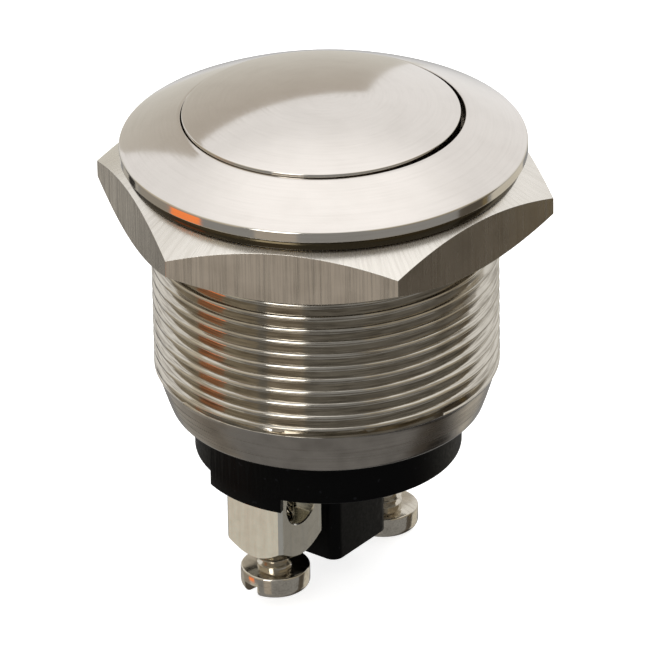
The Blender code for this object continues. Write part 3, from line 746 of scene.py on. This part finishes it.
def rounded_outline(width: float, depth: float, radius: float, steps: int) -> Profile:
    """Outline of a rectangle with rounded corners.

    Args:
        width: The size along X.
        depth: The size along Y.
        radius: The corners' radius.
        steps: How many chords each corner has.

    Returns:
        The outline's points.
    """
    points: Profile = []
    for side, (sx, sy) in enumerate([(1, 1), (-1, 1), (-1, -1), (1, -1)]):
        centre = (sx * (width / 2 - radius), sy * (depth / 2 - radius))
        points += arc(centre, radius, 90 * side, 90 * side + 90, steps)
    return points


def cut_square(width: float, cut: float) -> Profile:
    """Outline of a square whose corners are cut off."""
    half = width / 2
    return [(half, -half + cut), (half, half - cut), (half - cut, half), (-half + cut, half),
            (-half, half - cut), (-half, -half + cut), (-half + cut, -half), (half - cut, -half)]


def rod(name: str, radius: float, bottom: float, top: float, columns: int = HOLE_COLUMNS) -> Piece:
    """Make a plain rod on the axis."""
    return turned(name, stairs(0, bottom, radius, top, 0), columns)


def combine(piece: Piece, tool: Piece, operation: str, move: Matrix | None = None) -> None:
    """Give a piece an exact Boolean with a tool, and keep only the result.

    Args:
        piece: The piece that changes.
        tool: What is added, kept or cut away. It is used up.
        operation: The Boolean's kind.
        move: Where the tool goes in the piece's frame.
    """
    tool.data.transform(move or Matrix())
    apply(piece, "BOOLEAN", operation=operation, object=tool)
    bpy.data.objects.remove(tool)


def soften(piece: Piece, width: float) -> None:
    """Break a piece's edges over a width in millimetres."""
    apply(piece, "BEVEL", width=width * MM, segments=2, limit_method="ANGLE",
          angle_limit=BROKEN_ANGLE, miter_outer="MITER_ARC")


def along_terminals(side: Side | None = None, turn: float = 0.0) -> Matrix:
    """Where a piece made on the axis goes at one terminal.

    Args:
        side: The terminal, or None for the switch's own axis.
        turn: The piece's own turn about its axis, in radians.

    Returns:
        The matrix from the piece's frame to the switch's.
    """
    place = side.place if side else Matrix()
    return Matrix.Rotation(TERMINAL_TURN, 4, "Z") @ place @ Matrix.Rotation(turn, 4, "Z")


def dress(piece: Piece, *finishes: Finish, zone: Callable[[bpy.types.MeshPolygon], int] | None = None) -> None:
    """Give a piece its finishes.

    Args:
        piece: The piece.
        *finishes: The finishes, in the order of their numbers.
        zone: Tells the number of a face's finish, where there is more than one.
    """
    piece.data.materials.clear()
    for finish in finishes:
        piece.data.materials.append(finish.make())
    if zone:
        for face in piece.data.polygons:
            face.material_index = zone(face)


def seat(piece: Piece, body: str, node: str, sharp: float = SHARP_ANGLE) -> None:
    """Shade a finished piece, and let it ride on its body and stand for its CAD node.

    Args:
        piece: The finished piece.
        body: The CAD body that it moves with.
        node: The CAD node that it replaces.
        sharp: The smallest angle that stays an edge when the rest is shaded smooth.
    """
    piece.data.shade_smooth()
    piece.data.set_sharp_from_angle(angle=sharp)
    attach(piece, body)
    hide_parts(node)
    triangles = sum(len(face.vertices) - 2 for face in piece.data.polygons)
    log.info("%s rides on %s for %s: %d triangles", piece.name, body, node, triangles)


@dataclass
class HeadAndBarrel:
    """Domed bezel and threaded barrel, one turned and plated shell."""

    bezel_radius: float = 11.0
    rim_bottom: float = 0.58
    rim_top: float = 1.21
    rim_hold: float = 0.02
    rim_edge: float = 0.12
    hole_radius: float = 7.67
    hole_top: float = 2.70
    hole_edge: float = 0.03
    face_crown: float = 0.065
    lip_bottom: float = 0.95
    bore_radius: float = 8.3
    lead_in: float = 0.15
    shoulder_foot: tuple[float, float] = (8.6, -14.25)
    shoulder_crown: float = 0.03
    bottom: float = -14.6
    crimp_radius: float = 7.6
    crimp_land: float = 0.6
    crimp_cone: float = 0.8
    face_slope: float = 0.7
    sharp: float = math.radians(50)
    thread: Thread = field(default_factory=lambda: Thread(
        radius=9.42, pitch=0.75, depth=0.45, bottom=-11.95, top=-0.1, run_out=0.15, phase=-0.083))

    def profile(self) -> Profile:
        """Draw the shell's section.

        Returns:
            The closed profile, from the rim over the face and down through the bore.
        """
        inner_rim = (self.bezel_radius - self.rim_edge, self.rim_top - self.rim_edge)
        rim = arc(inner_rim, self.rim_edge, 0, 62, 6)
        face = crowned(rim[-1], (self.hole_radius + self.hole_edge, self.hole_top), self.face_crown, 16)
        inner_mouth = (self.hole_radius + self.hole_edge, self.hole_top - self.hole_edge)
        mouth = arc(inner_mouth, self.hole_edge, 90, 180, 4)
        crimp_top = self.bottom + self.crimp_land
        thread = self.thread
        end = (thread.radius - self.lead_in, thread.bottom - self.lead_in)
        foot = self.shoulder_foot
        slope = math.atan2(end[0] - foot[0], end[1] - foot[1])
        round_radius = (foot[1] - self.bottom) / (1 - math.sin(slope))
        centre = (foot[0] - round_radius * math.cos(slope), foot[1] + round_radius * math.sin(slope))
        shoulder = arc(centre, round_radius, -90, -math.degrees(slope), 8)
        shoulder += crowned(foot, end, self.shoulder_crown, 10)[1:] + [(thread.radius, thread.bottom)]
        points = [(thread.radius, thread.top), (thread.radius, self.rim_bottom),
                  (self.bezel_radius - self.rim_edge / 2, self.rim_bottom),
                  (self.bezel_radius, self.rim_bottom + self.rim_edge / 2),
                  (self.bezel_radius, self.rim_bottom + self.rim_edge / 2 + self.rim_hold),
                  (self.bezel_radius, self.rim_top - self.rim_edge - self.rim_hold)]
        points += rim + face[1:] + mouth[1:]
        points += [(self.hole_radius, self.lip_bottom), (self.bore_radius, self.lip_bottom),
                   (self.bore_radius, crimp_top + self.crimp_cone), (self.crimp_radius, crimp_top),
                   (self.crimp_radius, self.bottom)]
        return points + shoulder

    def zone(self, face: bpy.types.MeshPolygon) -> int:
        """Tell which finish a face has.

        Args:
            face: A face of the shell.

        Returns:
            0 for the bright edges and the bore, 1 for the satin dome, 2 for shoulder and mouth.
        """
        height, radius = face.center.z / MM, face.center.xy.length / MM
        if height > self.rim_top and radius > self.hole_radius and face.normal.z > self.face_slope:
            return 1
        shoulder = height < self.thread.bottom and radius > self.crimp_radius
        mouth = height > self.lip_bottom and radius < self.hole_radius + self.hole_edge
        return 2 if shoulder or mouth else 0

    def build(self) -> None:
        """Turn the shell, give each zone its finish and cut the thread."""
        piece = turned("head_and_barrel", self.profile(), thread=self.thread)
        dress(piece, BRIGHT_EDGE, SATIN_FACE, ROLLED_SHOULDER, zone=self.zone)
        cut_thread(piece, self.thread, CUT_THREAD)
        seat(piece, "switch_body", "body_shell", self.sharp)


@dataclass
class Gasket:
    """Rubber ring squeezed between the bezel and the panel."""

    inner: float = 9.72
    outer: float = 10.7
    top: float = 0.56
    foot_edge: float = 0.05
    crown_edge: float = 0.36

    def build(self) -> None:
        """Turn the ring with its rounded outer edges."""
        profile = [(self.inner, 0.0)]
        profile += arc((self.outer - self.foot_edge, self.foot_edge), self.foot_edge, -90, 0, 4)
        profile += arc((self.outer - self.crown_edge, self.top - self.crown_edge), self.crown_edge, 0, 90, 12)
        piece = turned("gasket_ring", profile + [(self.inner, self.top)])
        dress(piece, NITRILE)
        seat(piece, "switch_body", "panel_gasket")


@dataclass
class HexNut:
    """Hexagon nut with both faces chamfered and a thread in its bore."""

    across_flats: float = 21.76
    top: float = -0.08
    bottom: float = -3.28
    face_radius: float = 10.6
    corner_radius: float = 12.56
    chamfer: float = math.radians(30)
    edge: float = 0.008
    edge_steps: int = 3
    sectors: int = 6
    corner_gap: float = 0.15
    flat_reach: float = 28.0
    flat_steps: int = 36
    flat_slope: float = 0.25
    sharp: float = math.radians(28)
    bore_radius: float = 9.67
    bore_chamfer: float = 0.45
    turn: float = math.radians(17.6)
    thread: Thread = field(default_factory=lambda: Thread(
        radius=9.67, pitch=0.75, depth=-0.3, bottom=-2.83, top=-0.53, run_out=0.15, phase=0.417))

    def offsets(self) -> list[float]:
        """Place one sector's columns, closest at the corner.

        Returns:
            Their angles from the flat's middle, in degrees.
        """
        corner = math.degrees(math.acos(self.across_flats / 2 / self.corner_radius))
        near = [corner - self.corner_gap, corner]
        reach, steps = self.flat_reach, self.flat_steps
        plain = [-reach + 2 * reach * step / steps for step in range(steps + 1)]
        return [-180 / self.sectors] + [-a for a in reversed(near)] + plain + near

    def column(self, offset: float) -> Profile:
        """Profile of the nut at an angle from its flat's middle.

        Args:
            offset: The angle in degrees.

        Returns:
            The closed profile, whose last side is the bore's wall.
        """
        reach = min(self.across_flats / 2 / math.cos(math.radians(offset)), self.corner_radius)
        drop = (reach - self.face_radius) * math.tan(self.chamfer)
        upper = []
        for step in range(self.edge_steps + 1):
            share = step / self.edge_steps
            back, down = (1 - share) ** 2 * self.edge, share ** 2 * self.edge
            upper.append((reach - back, -drop + back * math.tan(self.chamfer) - down))
        inner = upper[0][0] - self.edge
        upper.insert(0, (inner, -(inner - self.face_radius) * math.tan(self.chamfer)))
        upper.append((reach, upper[-1][1] - self.edge))
        upper.insert(0, (self.face_radius, 0.0))
        mouth = (self.bore_radius + self.bore_chamfer, 0.0)
        throat = (self.bore_radius, -self.bore_chamfer)
        half = [throat, mouth] + upper
        return [(r, self.top + z) for r, z in half] + [(r, self.bottom - z) for r, z in reversed(half)]

    def build(self) -> None:
        """Build the nut column by column, cut its thread and dress flats and chamfers."""
        places = sorted((math.radians(360 / self.sectors * sector + offset) % math.tau, offset)
                        for sector in range(self.sectors) for offset in self.offsets())
        angles = [angle for angle, _ in places]
        columns = [self.column(offset) for _, offset in places]
        vertices = [(r * math.cos(angle), r * math.sin(angle), z)
                    for angle, column in zip(angles, columns) for r, z in column]
        faces = stitch(0, len(columns[0]), len(columns))
        add_thread_wall(vertices, faces, self.thread, angles)
        piece = weld("hexagon_nut", vertices, faces)
        wall = self.face_radius * MM
        dress(piece, TURNED_CHAMFER, DRAWN_FLAT,
              zone=lambda face: int(abs(face.normal.z) < self.flat_slope and face.center.xy.length > wall))
        cut_thread(piece, self.thread, CUT_THREAD)
        piece.data.transform(Matrix.Rotation(self.turn, 4, "Z"))
        seat(piece, "nut", "hex_nut", self.sharp)


@dataclass
class ButtonCap:
    """Domed metal cap with its flange, seal groove and plunger socket.

    The cap sits off the middle of its hole by its play, as the photograph shows. A ring-shaped
    pocket in its ceiling leaves the return spring room when the cap is pressed.
    """

    radius: float = 7.5
    apex: float = 4.0
    rise: float = 1.12
    edge: float = 0.06
    flange_radius: float = 8.0
    flange_top: float = 0.65
    flange_height: float = 0.9
    groove_floor: float = 7.1
    groove_height: float = 1.2
    skirt_inside: float = 6.2
    ceiling: float = 1.6
    pocket_radius: float = 5.5
    pocket_top: float = 3.12
    boss_radius: float = 2.6
    boss_bottom: float = -1.0
    socket_radius: float = 1.8
    socket_top: float = 1.0
    play: tuple[float, float] = (-0.1, -0.06)
    dome_foot: float = 1.3
    dome_slope: float = 0.8
    sharp: float = math.radians(40)

    def profile(self) -> Profile:
        """Draw the cap's section.

        Returns:
            The closed profile, from the apex over the rim and back under the ceiling.
        """
        dome_radius = (self.radius ** 2 + self.rise ** 2) / (2 * self.rise)
        side = self.radius - self.edge
        sweep = math.degrees(math.asin(side / dome_radius))
        dome = arc((0, self.apex - dome_radius), dome_radius, 90, 90 - sweep, 40)
        rim = arc((side, dome[-1][1] - self.edge), self.edge, 90 - sweep, 0, 5)
        groove_top = self.flange_top - self.flange_height
        groove_bottom = groove_top - self.groove_height
        return [(0.0, self.apex)] + dome[1:-1] + rim + stairs(
            self.radius, self.flange_top, self.flange_radius, groove_top, self.groove_floor, groove_bottom,
            self.flange_radius, groove_bottom - self.flange_height, self.skirt_inside, self.ceiling,
            self.pocket_radius, self.pocket_top, self.boss_radius, self.boss_bottom,
            self.socket_radius, self.socket_top, 0.0)

    def build(self) -> None:
        """Turn the cap and move it by its play."""
        piece = turned("domed_cap", self.profile())
        piece.data.transform(Matrix.Translation(Vector((*self.play, 0.0)) * MM))
        dress(piece, SATIN_FACE, BRIGHT_EDGE, zone=lambda face: int(
            face.normal.z <= self.dome_slope or face.center.z <= self.dome_foot * MM))
        seat(piece, "button", "button_cap", self.sharp)


@dataclass
class TerminalBase:
    """Black moulding that closes the barrel and carries the two terminal posts."""

    radius: float = 7.3
    inner_radius: float = 8.0
    chamber_radius: float = 6.6
    chamber_floor: float = -13.05
    wall_top: float = -6.45
    groove_floor: float = 7.1
    groove_height: float = 1.2
    groove_top: float = -9.15
    cone_top: float = -12.9
    cone_height: float = 0.8
    bottom: float = -17.2
    foot_edge: float = 0.14
    shroud_drop: float = 0.75
    shroud_half_angle: float = 20.4
    shroud_turn: float = -4.2
    separator_width: float = 4.4
    separator_depth: float = 4.8
    separator_corner: float = 0.6
    separator_drop: float = 5.85
    pocket_width: float = 3.95
    pocket_edge: float = 0.35
    pocket_top: float = -16.25
    stud_hole_radius: float = 1.45
    edge: float = 0.07

    def blank(self) -> Profile:
        """Draw the section of the moulding's round part, with the contact chamber hollowed out.

        Returns:
            The closed profile.
        """
        groove_bottom = self.groove_top - self.groove_height
        foot = arc((self.radius - self.foot_edge, self.bottom + self.foot_edge), self.foot_edge, 0, -90, 4)
        return stairs(
            0, self.chamber_floor, self.chamber_radius, self.wall_top, self.inner_radius, self.groove_top,
            self.groove_floor, groove_bottom, self.inner_radius, self.cone_top,
        ) + [(self.radius, self.cone_top - self.cone_height), *foot, (0, self.bottom)]

    def shroud(self, side: Side) -> Profile:
        """Outline of the rim's sector that reaches down outside one post.

        Args:
            side: The terminal.

        Returns:
            The outline.
        """
        middle, half = 90 * side.value + self.shroud_turn, self.shroud_half_angle
        outer = arc((0, 0), self.radius, middle - half, middle + half, 24)
        return outer + arc((0, 0), TERMINAL_SPACING / 2, middle + half, middle - half, 6)

    def build(self) -> None:
        """Join the moulding's round part, separator and shrouds, and sink the posts' pockets."""
        piece = turned("terminal_moulding", self.blank(), BASE_COLUMNS)
        root, foot = self.bottom + OVERLAP, self.bottom - self.shroud_drop
        block = rounded_outline(self.separator_width, self.separator_depth, self.separator_corner, 8)
        combine(piece, prism("separator", block, self.bottom - self.separator_drop, root), "UNION")
        pocket = cut_square(self.pocket_width, self.pocket_edge)
        for side in Side:
            combine(piece, prism("shroud", self.shroud(side), foot, root), "UNION")
            combine(piece, prism("pocket", pocket, foot - OVERSHOOT, self.pocket_top), "DIFFERENCE", side.place)
            stud_hole = rod("stud_hole", self.stud_hole_radius, self.pocket_top - OVERSHOOT / 2,
                            self.chamber_floor + OVERSHOOT, STUD_HOLE_COLUMNS)
            combine(piece, stud_hole, "DIFFERENCE", side.place)
        soften(piece, self.edge)
        piece.data.transform(along_terminals())
        dress(piece, BLACK_NYLON)
        seat(piece, "switch_body", "terminal_base")


@dataclass
class TerminalPost:
    """Square plated post with a wire hole, a tapped end and a stud up into the base."""

    side: Side
    width: float = 3.8
    corner: float = 0.2
    shoulder: float = -16.4
    bottom: float = -21.4
    end_radius: float = 1.9
    stud_radius: float = 1.3
    stud_top: float = -12.85
    rivet_hole_radius: float = 0.6
    rivet_hole_bottom: float = -14.05
    tapped_radius: float = 1.15
    tapped_top: float = -17.4
    wire_radius: float = 1.33
    wire_height: float = -18.15
    wire_chamfer: float = 0.06
    edge: float = 0.05

    def drill(self) -> Profile:
        """Draw the section of the wire hole's drill, which chamfers both mouths.

        Returns:
            The closed profile, about the hole's own axis.
        """
        half, mouth = self.width / 2, self.wire_radius + self.wire_chamfer
        upper = [(self.wire_radius, half - self.wire_chamfer), (mouth, half),
                 (mouth + self.width - half, self.width), (0, self.width)]
        return [(r, -z) for r, z in reversed(upper)] + upper

    def build(self) -> None:
        """Mill the post, turn its end, and drill it."""
        square = cut_square(self.width, self.corner)
        piece = prism("post_" + self.side.label, square, self.bottom, self.shoulder)
        cone_top = self.bottom + self.width - self.end_radius
        envelope = [(0, self.bottom), (self.end_radius, self.bottom), (self.width, cone_top),
                    (self.width, self.shoulder + OVERSHOOT), (0, self.shoulder + OVERSHOOT)]
        combine(piece, turned("envelope", envelope, SMALL_COLUMNS), "INTERSECT")
        combine(piece, rod("stud", self.stud_radius, self.shoulder - OVERLAP, self.stud_top), "UNION")
        rivet_hole = rod("rivet_hole", self.rivet_hole_radius, self.rivet_hole_bottom,
                         self.stud_top + OVERSHOOT, RIVET_COLUMNS)
        combine(piece, rivet_hole, "DIFFERENCE")
        tapped_hole = rod("tapped_hole", self.tapped_radius, self.bottom - OVERSHOOT, self.tapped_top)
        combine(piece, tapped_hole, "DIFFERENCE")
        across = Matrix.Translation((0, 0, self.wire_height * MM)) @ Matrix.Rotation(math.radians(90), 4, "Y")
        combine(piece, turned("wire_hole", self.drill(), HOLE_COLUMNS), "DIFFERENCE", across)
        soften(piece, self.edge)
        piece.data.transform(along_terminals(self.side))
        dress(piece, MILLED_POST)
        seat(piece, "switch_body", "terminal_post_" + self.side.label)


@dataclass
class TerminalScrew:
    """Small slotted cheese-head screw, as far out of its post as the photograph shows."""

    side: Side
    head_top: float
    slot_turn: float
    head_radius: float = 1.9
    head_height: float = 1.3
    head_edge: float = 0.45
    rim_edge: float = 0.12
    length: float = 4.0
    tip_edge: float = 0.25
    slot_width: float = 0.95
    slot_depth: float = 0.7
    radius: float = 1.0
    pitch: float = 0.4
    thread_depth: float = 0.24
    crest_share: float = 0.03
    neck: float = 0.12

    def thread(self) -> Thread:
        """The M2 thread from the neck to the tip."""
        return Thread(radius=self.radius, pitch=self.pitch, depth=self.thread_depth, run_out=self.neck,
                      bottom=self.head_top + self.neck, top=self.head_top + self.length - self.tip_edge,
                      crest_share=self.crest_share)

    def build(self) -> None:
        """Turn the screw, cut its thread and slot its head."""
        low, high = self.head_top - self.head_height, self.head_top + self.length
        thread, label = self.thread(), self.side.label
        foot = arc((self.head_radius - self.head_edge, low + self.head_edge), self.head_edge, -90, 0, 8)
        crown = arc((self.head_radius - self.rim_edge, self.head_top - self.rim_edge), self.rim_edge, 0, 90, 4)
        shank = [(thread.radius, self.head_top), (thread.radius, thread.bottom), (thread.radius, thread.top),
                 (self.radius - self.tip_edge, high), (0, high)]
        piece = turned("screw_" + label, [(0, low)] + foot + crown + shank, SMALL_COLUMNS, thread)
        dress(piece, SCREW_PLATE)
        cut_thread(piece, thread, SCREW_PLATE)
        reach, half = self.head_radius + OVERSHOOT, self.slot_width / 2
        outline = [(-half, -reach), (half, -reach), (half, reach), (-half, reach)]
        combine(piece, prism("slot", outline, low - OVERSHOOT, low + self.slot_depth), "DIFFERENCE")
        piece.data.transform(along_terminals(self.side, self.slot_turn))
        dress(piece, SCREW_PLATE)
        seat(piece, label + "_screw", "terminal_screw_" + label)


# The height at which each screw's neck leaves its head, in millimetres, and its slot's turn.
SCREW_PLACES = {Side.FRONT: (-22.65, math.radians(-9)), Side.REAR: (-23.4, math.radians(-4))}


@dataclass
class Internals:
    """The working parts inside the barrel, which keep their CAD shapes."""

    finishes: dict[str, Finish] = field(default_factory=lambda: {
        "guide_bush": ACETAL, "plunger": ACETAL, "return_spring": SPRING_WIRE, "contact_spring": SPRING_WIRE,
        "bridge_clip": SPRING_WIRE, "contact_bridge": ROLLED_BRASS, "bridge_contact_front": CONTACT_SILVER,
        "bridge_contact_rear": CONTACT_SILVER, "fixed_contact_front": CONTACT_SILVER,
        "fixed_contact_rear": CONTACT_SILVER, "base_seal_ring": NITRILE, "button_seal_ring": NITRILE})

    def build(self) -> None:
        """Give each inner CAD node its finish."""
        for name, finish in self.finishes.items():
            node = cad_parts[name]
            for slot in node.material_slots:
                slot.material = finish.make()
            log.info("%s keeps its CAD shape in %s", name, finish.name)


def aim_from(azimuth: float, elevation: float) -> Vector:
    """Direction from the switch to an azimuth and an elevation in degrees."""
    turn, rise = math.radians(azimuth), math.radians(elevation)
    return Vector((math.sin(turn) * math.cos(rise), -math.cos(turn) * math.cos(rise), math.sin(rise)))


def sheet(left: float, right: float, low: float, high: float) -> tuple[tuple[float, float], ...]:
    """Corners of a card between two azimuths and two elevations."""
    return (left, low), (right, low), (right, high), (left, high)


@dataclass(frozen=True)
class Card:
    """A sheet that stands round the switch and shows only in its gloss.

    Its corners are azimuths and elevations in degrees, as seen from the switch, and
    run round it from the lower left. Its colour can fade to another at its foot.
    """

    name: str
    corners: tuple[tuple[float, float], ...]
    colour: str
    strength: float = 1.0
    distance: float = 400.0
    foot_colour: str | None = None
    steps: int = 8

    def build(self) -> None:
        """Hang the card with its glow, hidden from everything but gloss."""
        low_left, low_right, high_right, high_left = (Vector(corner) for corner in self.corners)
        row, shares = self.steps + 1, [step / self.steps for step in range(self.steps + 1)]
        vertices = []
        for up in shares:
            left, right = low_left.lerp(high_left, up), low_right.lerp(high_right, up)
            vertices += [aim_from(*left.lerp(right, across)) * self.distance * MM for across in shares]
        faces = [(first, first + 1, first + row + 1, first + row)
                 for up in range(self.steps) for first in range(up * row, up * row + self.steps)]
        mesh = bpy.data.meshes.new(self.name)
        mesh.from_pydata(vertices, [], faces)
        rise = mesh.attributes.new("rise", "FLOAT", "POINT")
        rise.data.foreach_set("value", [up for up in shares for _ in range(row)])
        card = add_piece(self.name, mesh)
        material = blank_material(self.name)
        tree = material.node_tree
        share = add(tree, "ShaderNodeAttribute", attribute_name="rise").node.outputs["Fac"]
        ramp = add(tree, "ShaderNodeValToRGB", {"Fac": share})
        ends = ramp.node.color_ramp.elements
        ends[0].color, ends[1].color = linear(self.foot_colour or self.colour), linear(self.colour)
        glow = add(tree, "ShaderNodeEmission", {"Color": ramp, "Strength": self.strength})
        add(tree, "ShaderNodeOutputMaterial", {"Surface": glow})
        mesh.materials.append(material)
        card.visible_camera = card.visible_diffuse = card.visible_shadow = False


@dataclass(frozen=True)
class Softbox:
    """A soft square lamp, in millimetres. Gloss shows the room and the cards in its stead."""

    name: str
    azimuth: float
    elevation: float
    distance: float
    width: float
    height: float
    radiance: float
    colour: str = "#FFFFFF"

    def build(self) -> None:
        """Hang the lamp so that it faces the switch."""
        lamp = bpy.data.lights.new(self.name, "AREA")
        lamp.shape = "RECTANGLE"
        lamp.size, lamp.size_y = self.width * MM, self.height * MM
        lamp.energy = self.radiance * math.pi * lamp.size * lamp.size_y
        lamp.color = linear(self.colour)[:3]
        holder = add_piece(self.name, lamp)
        away = aim_from(self.azimuth, self.elevation)
        holder.location = away * self.distance * MM
        holder.rotation_euler = away.to_track_quat("Z", "Y").to_euler()
        holder.visible_glossy = False


@dataclass
class Studio:
    """Pale floor, soft lamps and white surroundings."""

    floor_height: float = -24.75
    floor_reach: float = 3000.0
    floor_glow: float = 0.76
    fill: float = 0.45
    table_level: float = 0.32
    table_axis: tuple[float, float, float] = (0, 0.6, 0.8)
    table_ends: tuple[float, float] = (0.15, 0.6)
    zenith_lift: float = 0.32
    zenith_axis: tuple[float, float, float] = (0, 0.25, 0.97)
    zenith_start: float = 0.8
    lamps: list[Softbox] = field(default_factory=lambda: [
        Softbox("overhead_softbox", 160, 70, 420, 560, 460, 1.5),
        Softbox("side_softbox", -29, 32, 420, 210, 330, 1.0),
    ])
    cards: list[Card] = field(default_factory=lambda: [
        Card("card_behind", ((174, -10), (205, -10), (213, 42), (174, 25)), "#C0B9AE", foot_colour="#E0DED6"),
        Card("card_right", sheet(80, 104, -60, -6), "#5E5850"),
        Card("card_right_end", sheet(93, 97, -40, -12), "#857757", distance=69),
        Card("card_far_right", sheet(107, 150, -45, -4), "#DDD8CC"),
        Card("card_low_right", sheet(100, 136, -80, -48), "#2B2927"),
        Card("card_sky_right", sheet(24, 106, 0, 48), "#CFC6B4", foot_colour="#8C8476"),
        Card("card_left", sheet(-154, -128, -60, -18), "#BDB9B1"),
        Card("card_far_left", sheet(-126, -96, -60, -20), "#A39D94"),
        Card("card_sky_left", sheet(-122, -46, -14, 45), "#E4DCCD", foot_colour="#B6AE9F"),
        Card("card_corner", sheet(-134, -124, -40, -12), "#3A3836", distance=69),
        Card("strip_low", sheet(-39.5, -15.5, -50, -3), "#BAB2A8"),
        Card("strip_high", sheet(-39.5, -15.5, 4, 46), "#FFFFFF", 4.5),
        Card("orange_sheet_low", sheet(-95, -73, -28.8, -23.5), "#F88A4A", 1.5, distance=300),
        Card("orange_sheet_high", sheet(-92, -71, -9, 1), "#D0926C", distance=300),
        Card("card_post", sheet(-92, -60, -46, -28.9), "#D2CFC5", distance=300),
    ])

    def build_world(self) -> None:
        """Surround the switch with white, which gloss sees dim to the table in front and below."""
        world = bpy.data.worlds.new("studio")
        bpy.context.scene.world = world
        world.use_nodes = True
        tree = world.node_tree
        tree.nodes.clear()
        mirrored, seen = seen_rays(tree)
        direction = add(tree, "ShaderNodeTexCoord")
        backwards = vector(tree, "DOT_PRODUCT", direction, self.table_axis)
        upwards = vector(tree, "DOT_PRODUCT", direction, self.zenith_axis)
        room = remap(tree, backwards, *self.table_ends, to_low=self.table_level, to_high=1.0, ease="SMOOTHSTEP")
        zenith = remap(tree, upwards, self.zenith_start, 1.0, to_high=self.zenith_lift, ease="SMOOTHSTEP")
        mirror = calc(tree, "ADD", room, zenith)
        plain = remap(tree, seen, 0.0, 1.0, to_low=self.fill, to_high=1.0)
        level = add(tree, "ShaderNodeMix", {0: mirrored, 2: plain, 3: mirror})
        sky = add(tree, "ShaderNodeBackground", {"Color": linear("#FFFFFF"), "Strength": level})
        add(tree, "ShaderNodeOutputWorld", {"Surface": sky})

    def build_floor(self) -> None:
        """Lay the pale floor just under the lower screw.

        Its glow lifts it to white where a camera sees it, and its shadow stays. Gloss
        sees the table in the world instead, and from below the floor lets the eye through.
        """
        reach, height = self.floor_reach * MM, self.floor_height * MM
        mesh = bpy.data.meshes.new("floor")
        mesh.from_pydata([(-reach, -reach, height), (reach, -reach, height), (reach, reach, height),
                          (-reach, reach, height)], [], [(0, 1, 2, 3)])
        floor = add_piece("floor", mesh)
        material = blank_material("matt_white_paper")
        tree = material.node_tree
        _, seen = seen_rays(tree)
        paper = add(tree, "ShaderNodeBsdfDiffuse", {"Color": linear("#F2F1EF")})
        glow = add(tree, "ShaderNodeEmission", {"Color": linear("#FFFFFF"),
                                                "Strength": calc(tree, "MULTIPLY", seen, self.floor_glow)})
        lit = add(tree, "ShaderNodeAddShader", {0: paper, 1: glow})
        back = add(tree, "ShaderNodeNewGeometry").node.outputs["Backfacing"]
        clear = add(tree, "ShaderNodeBsdfTransparent")
        surface = add(tree, "ShaderNodeMixShader", {0: back, 1: lit, 2: clear})
        add(tree, "ShaderNodeOutputMaterial", {"Surface": surface})
        mesh.materials.append(material)
        floor.visible_glossy = False

    def build(self) -> None:
        """Put up the world, the floor, the lamps and the cards."""
        self.build_world()
        self.build_floor()
        for thing in [*self.lamps, *self.cards]:
            thing.build()
            log.info("%s hung", thing.name)


@dataclass(frozen=True)
class Camera:
    """The photograph's camera: about 27 degrees above the head, far back with a long lens."""

    place: tuple[float, float, float] = (0.0, -402.2, 203.05)
    aim: tuple[float, float, float] = (-0.083, 0.0, -10.09)
    roll: float = math.radians(-0.99)
    lens: float = 464.1
    sensor_width: float = 36.0
    clip: tuple[float, float] = (0.01, 20.0)

    def build(self) -> None:
        """Set the scene's camera."""
        lens = bpy.data.cameras.new("camera")
        lens.lens, lens.sensor_width = self.lens, self.sensor_width
        lens.clip_start, lens.clip_end = self.clip
        camera = add_piece("camera", lens)
        camera.location = Vector(self.place) * MM
        ahead = (Vector(self.aim) - Vector(self.place)).normalized()
        camera.rotation_mode = "QUATERNION"
        camera.rotation_quaternion = ahead.to_track_quat("-Z", "Y") @ Quaternion((0, 0, 1), self.roll)
        bpy.context.scene.camera = camera


def main() -> None:
    """Build every piece, the studio and the camera, in order."""
    logging.basicConfig(level=logging.INFO, format="%(name)s: %(message)s")
    HeadAndBarrel().build()
    Gasket().build()
    HexNut().build()
    ButtonCap().build()
    TerminalBase().build()
    for side, (head_top, slot_turn) in SCREW_PLACES.items():
        TerminalPost(side).build()
        TerminalScrew(side, head_top, slot_turn).build()
    Internals().build()
    Studio().build()
    Camera().build()
    bpy.context.scene.view_settings.view_transform = "Standard"


if __name__ == "__main__":
    main()
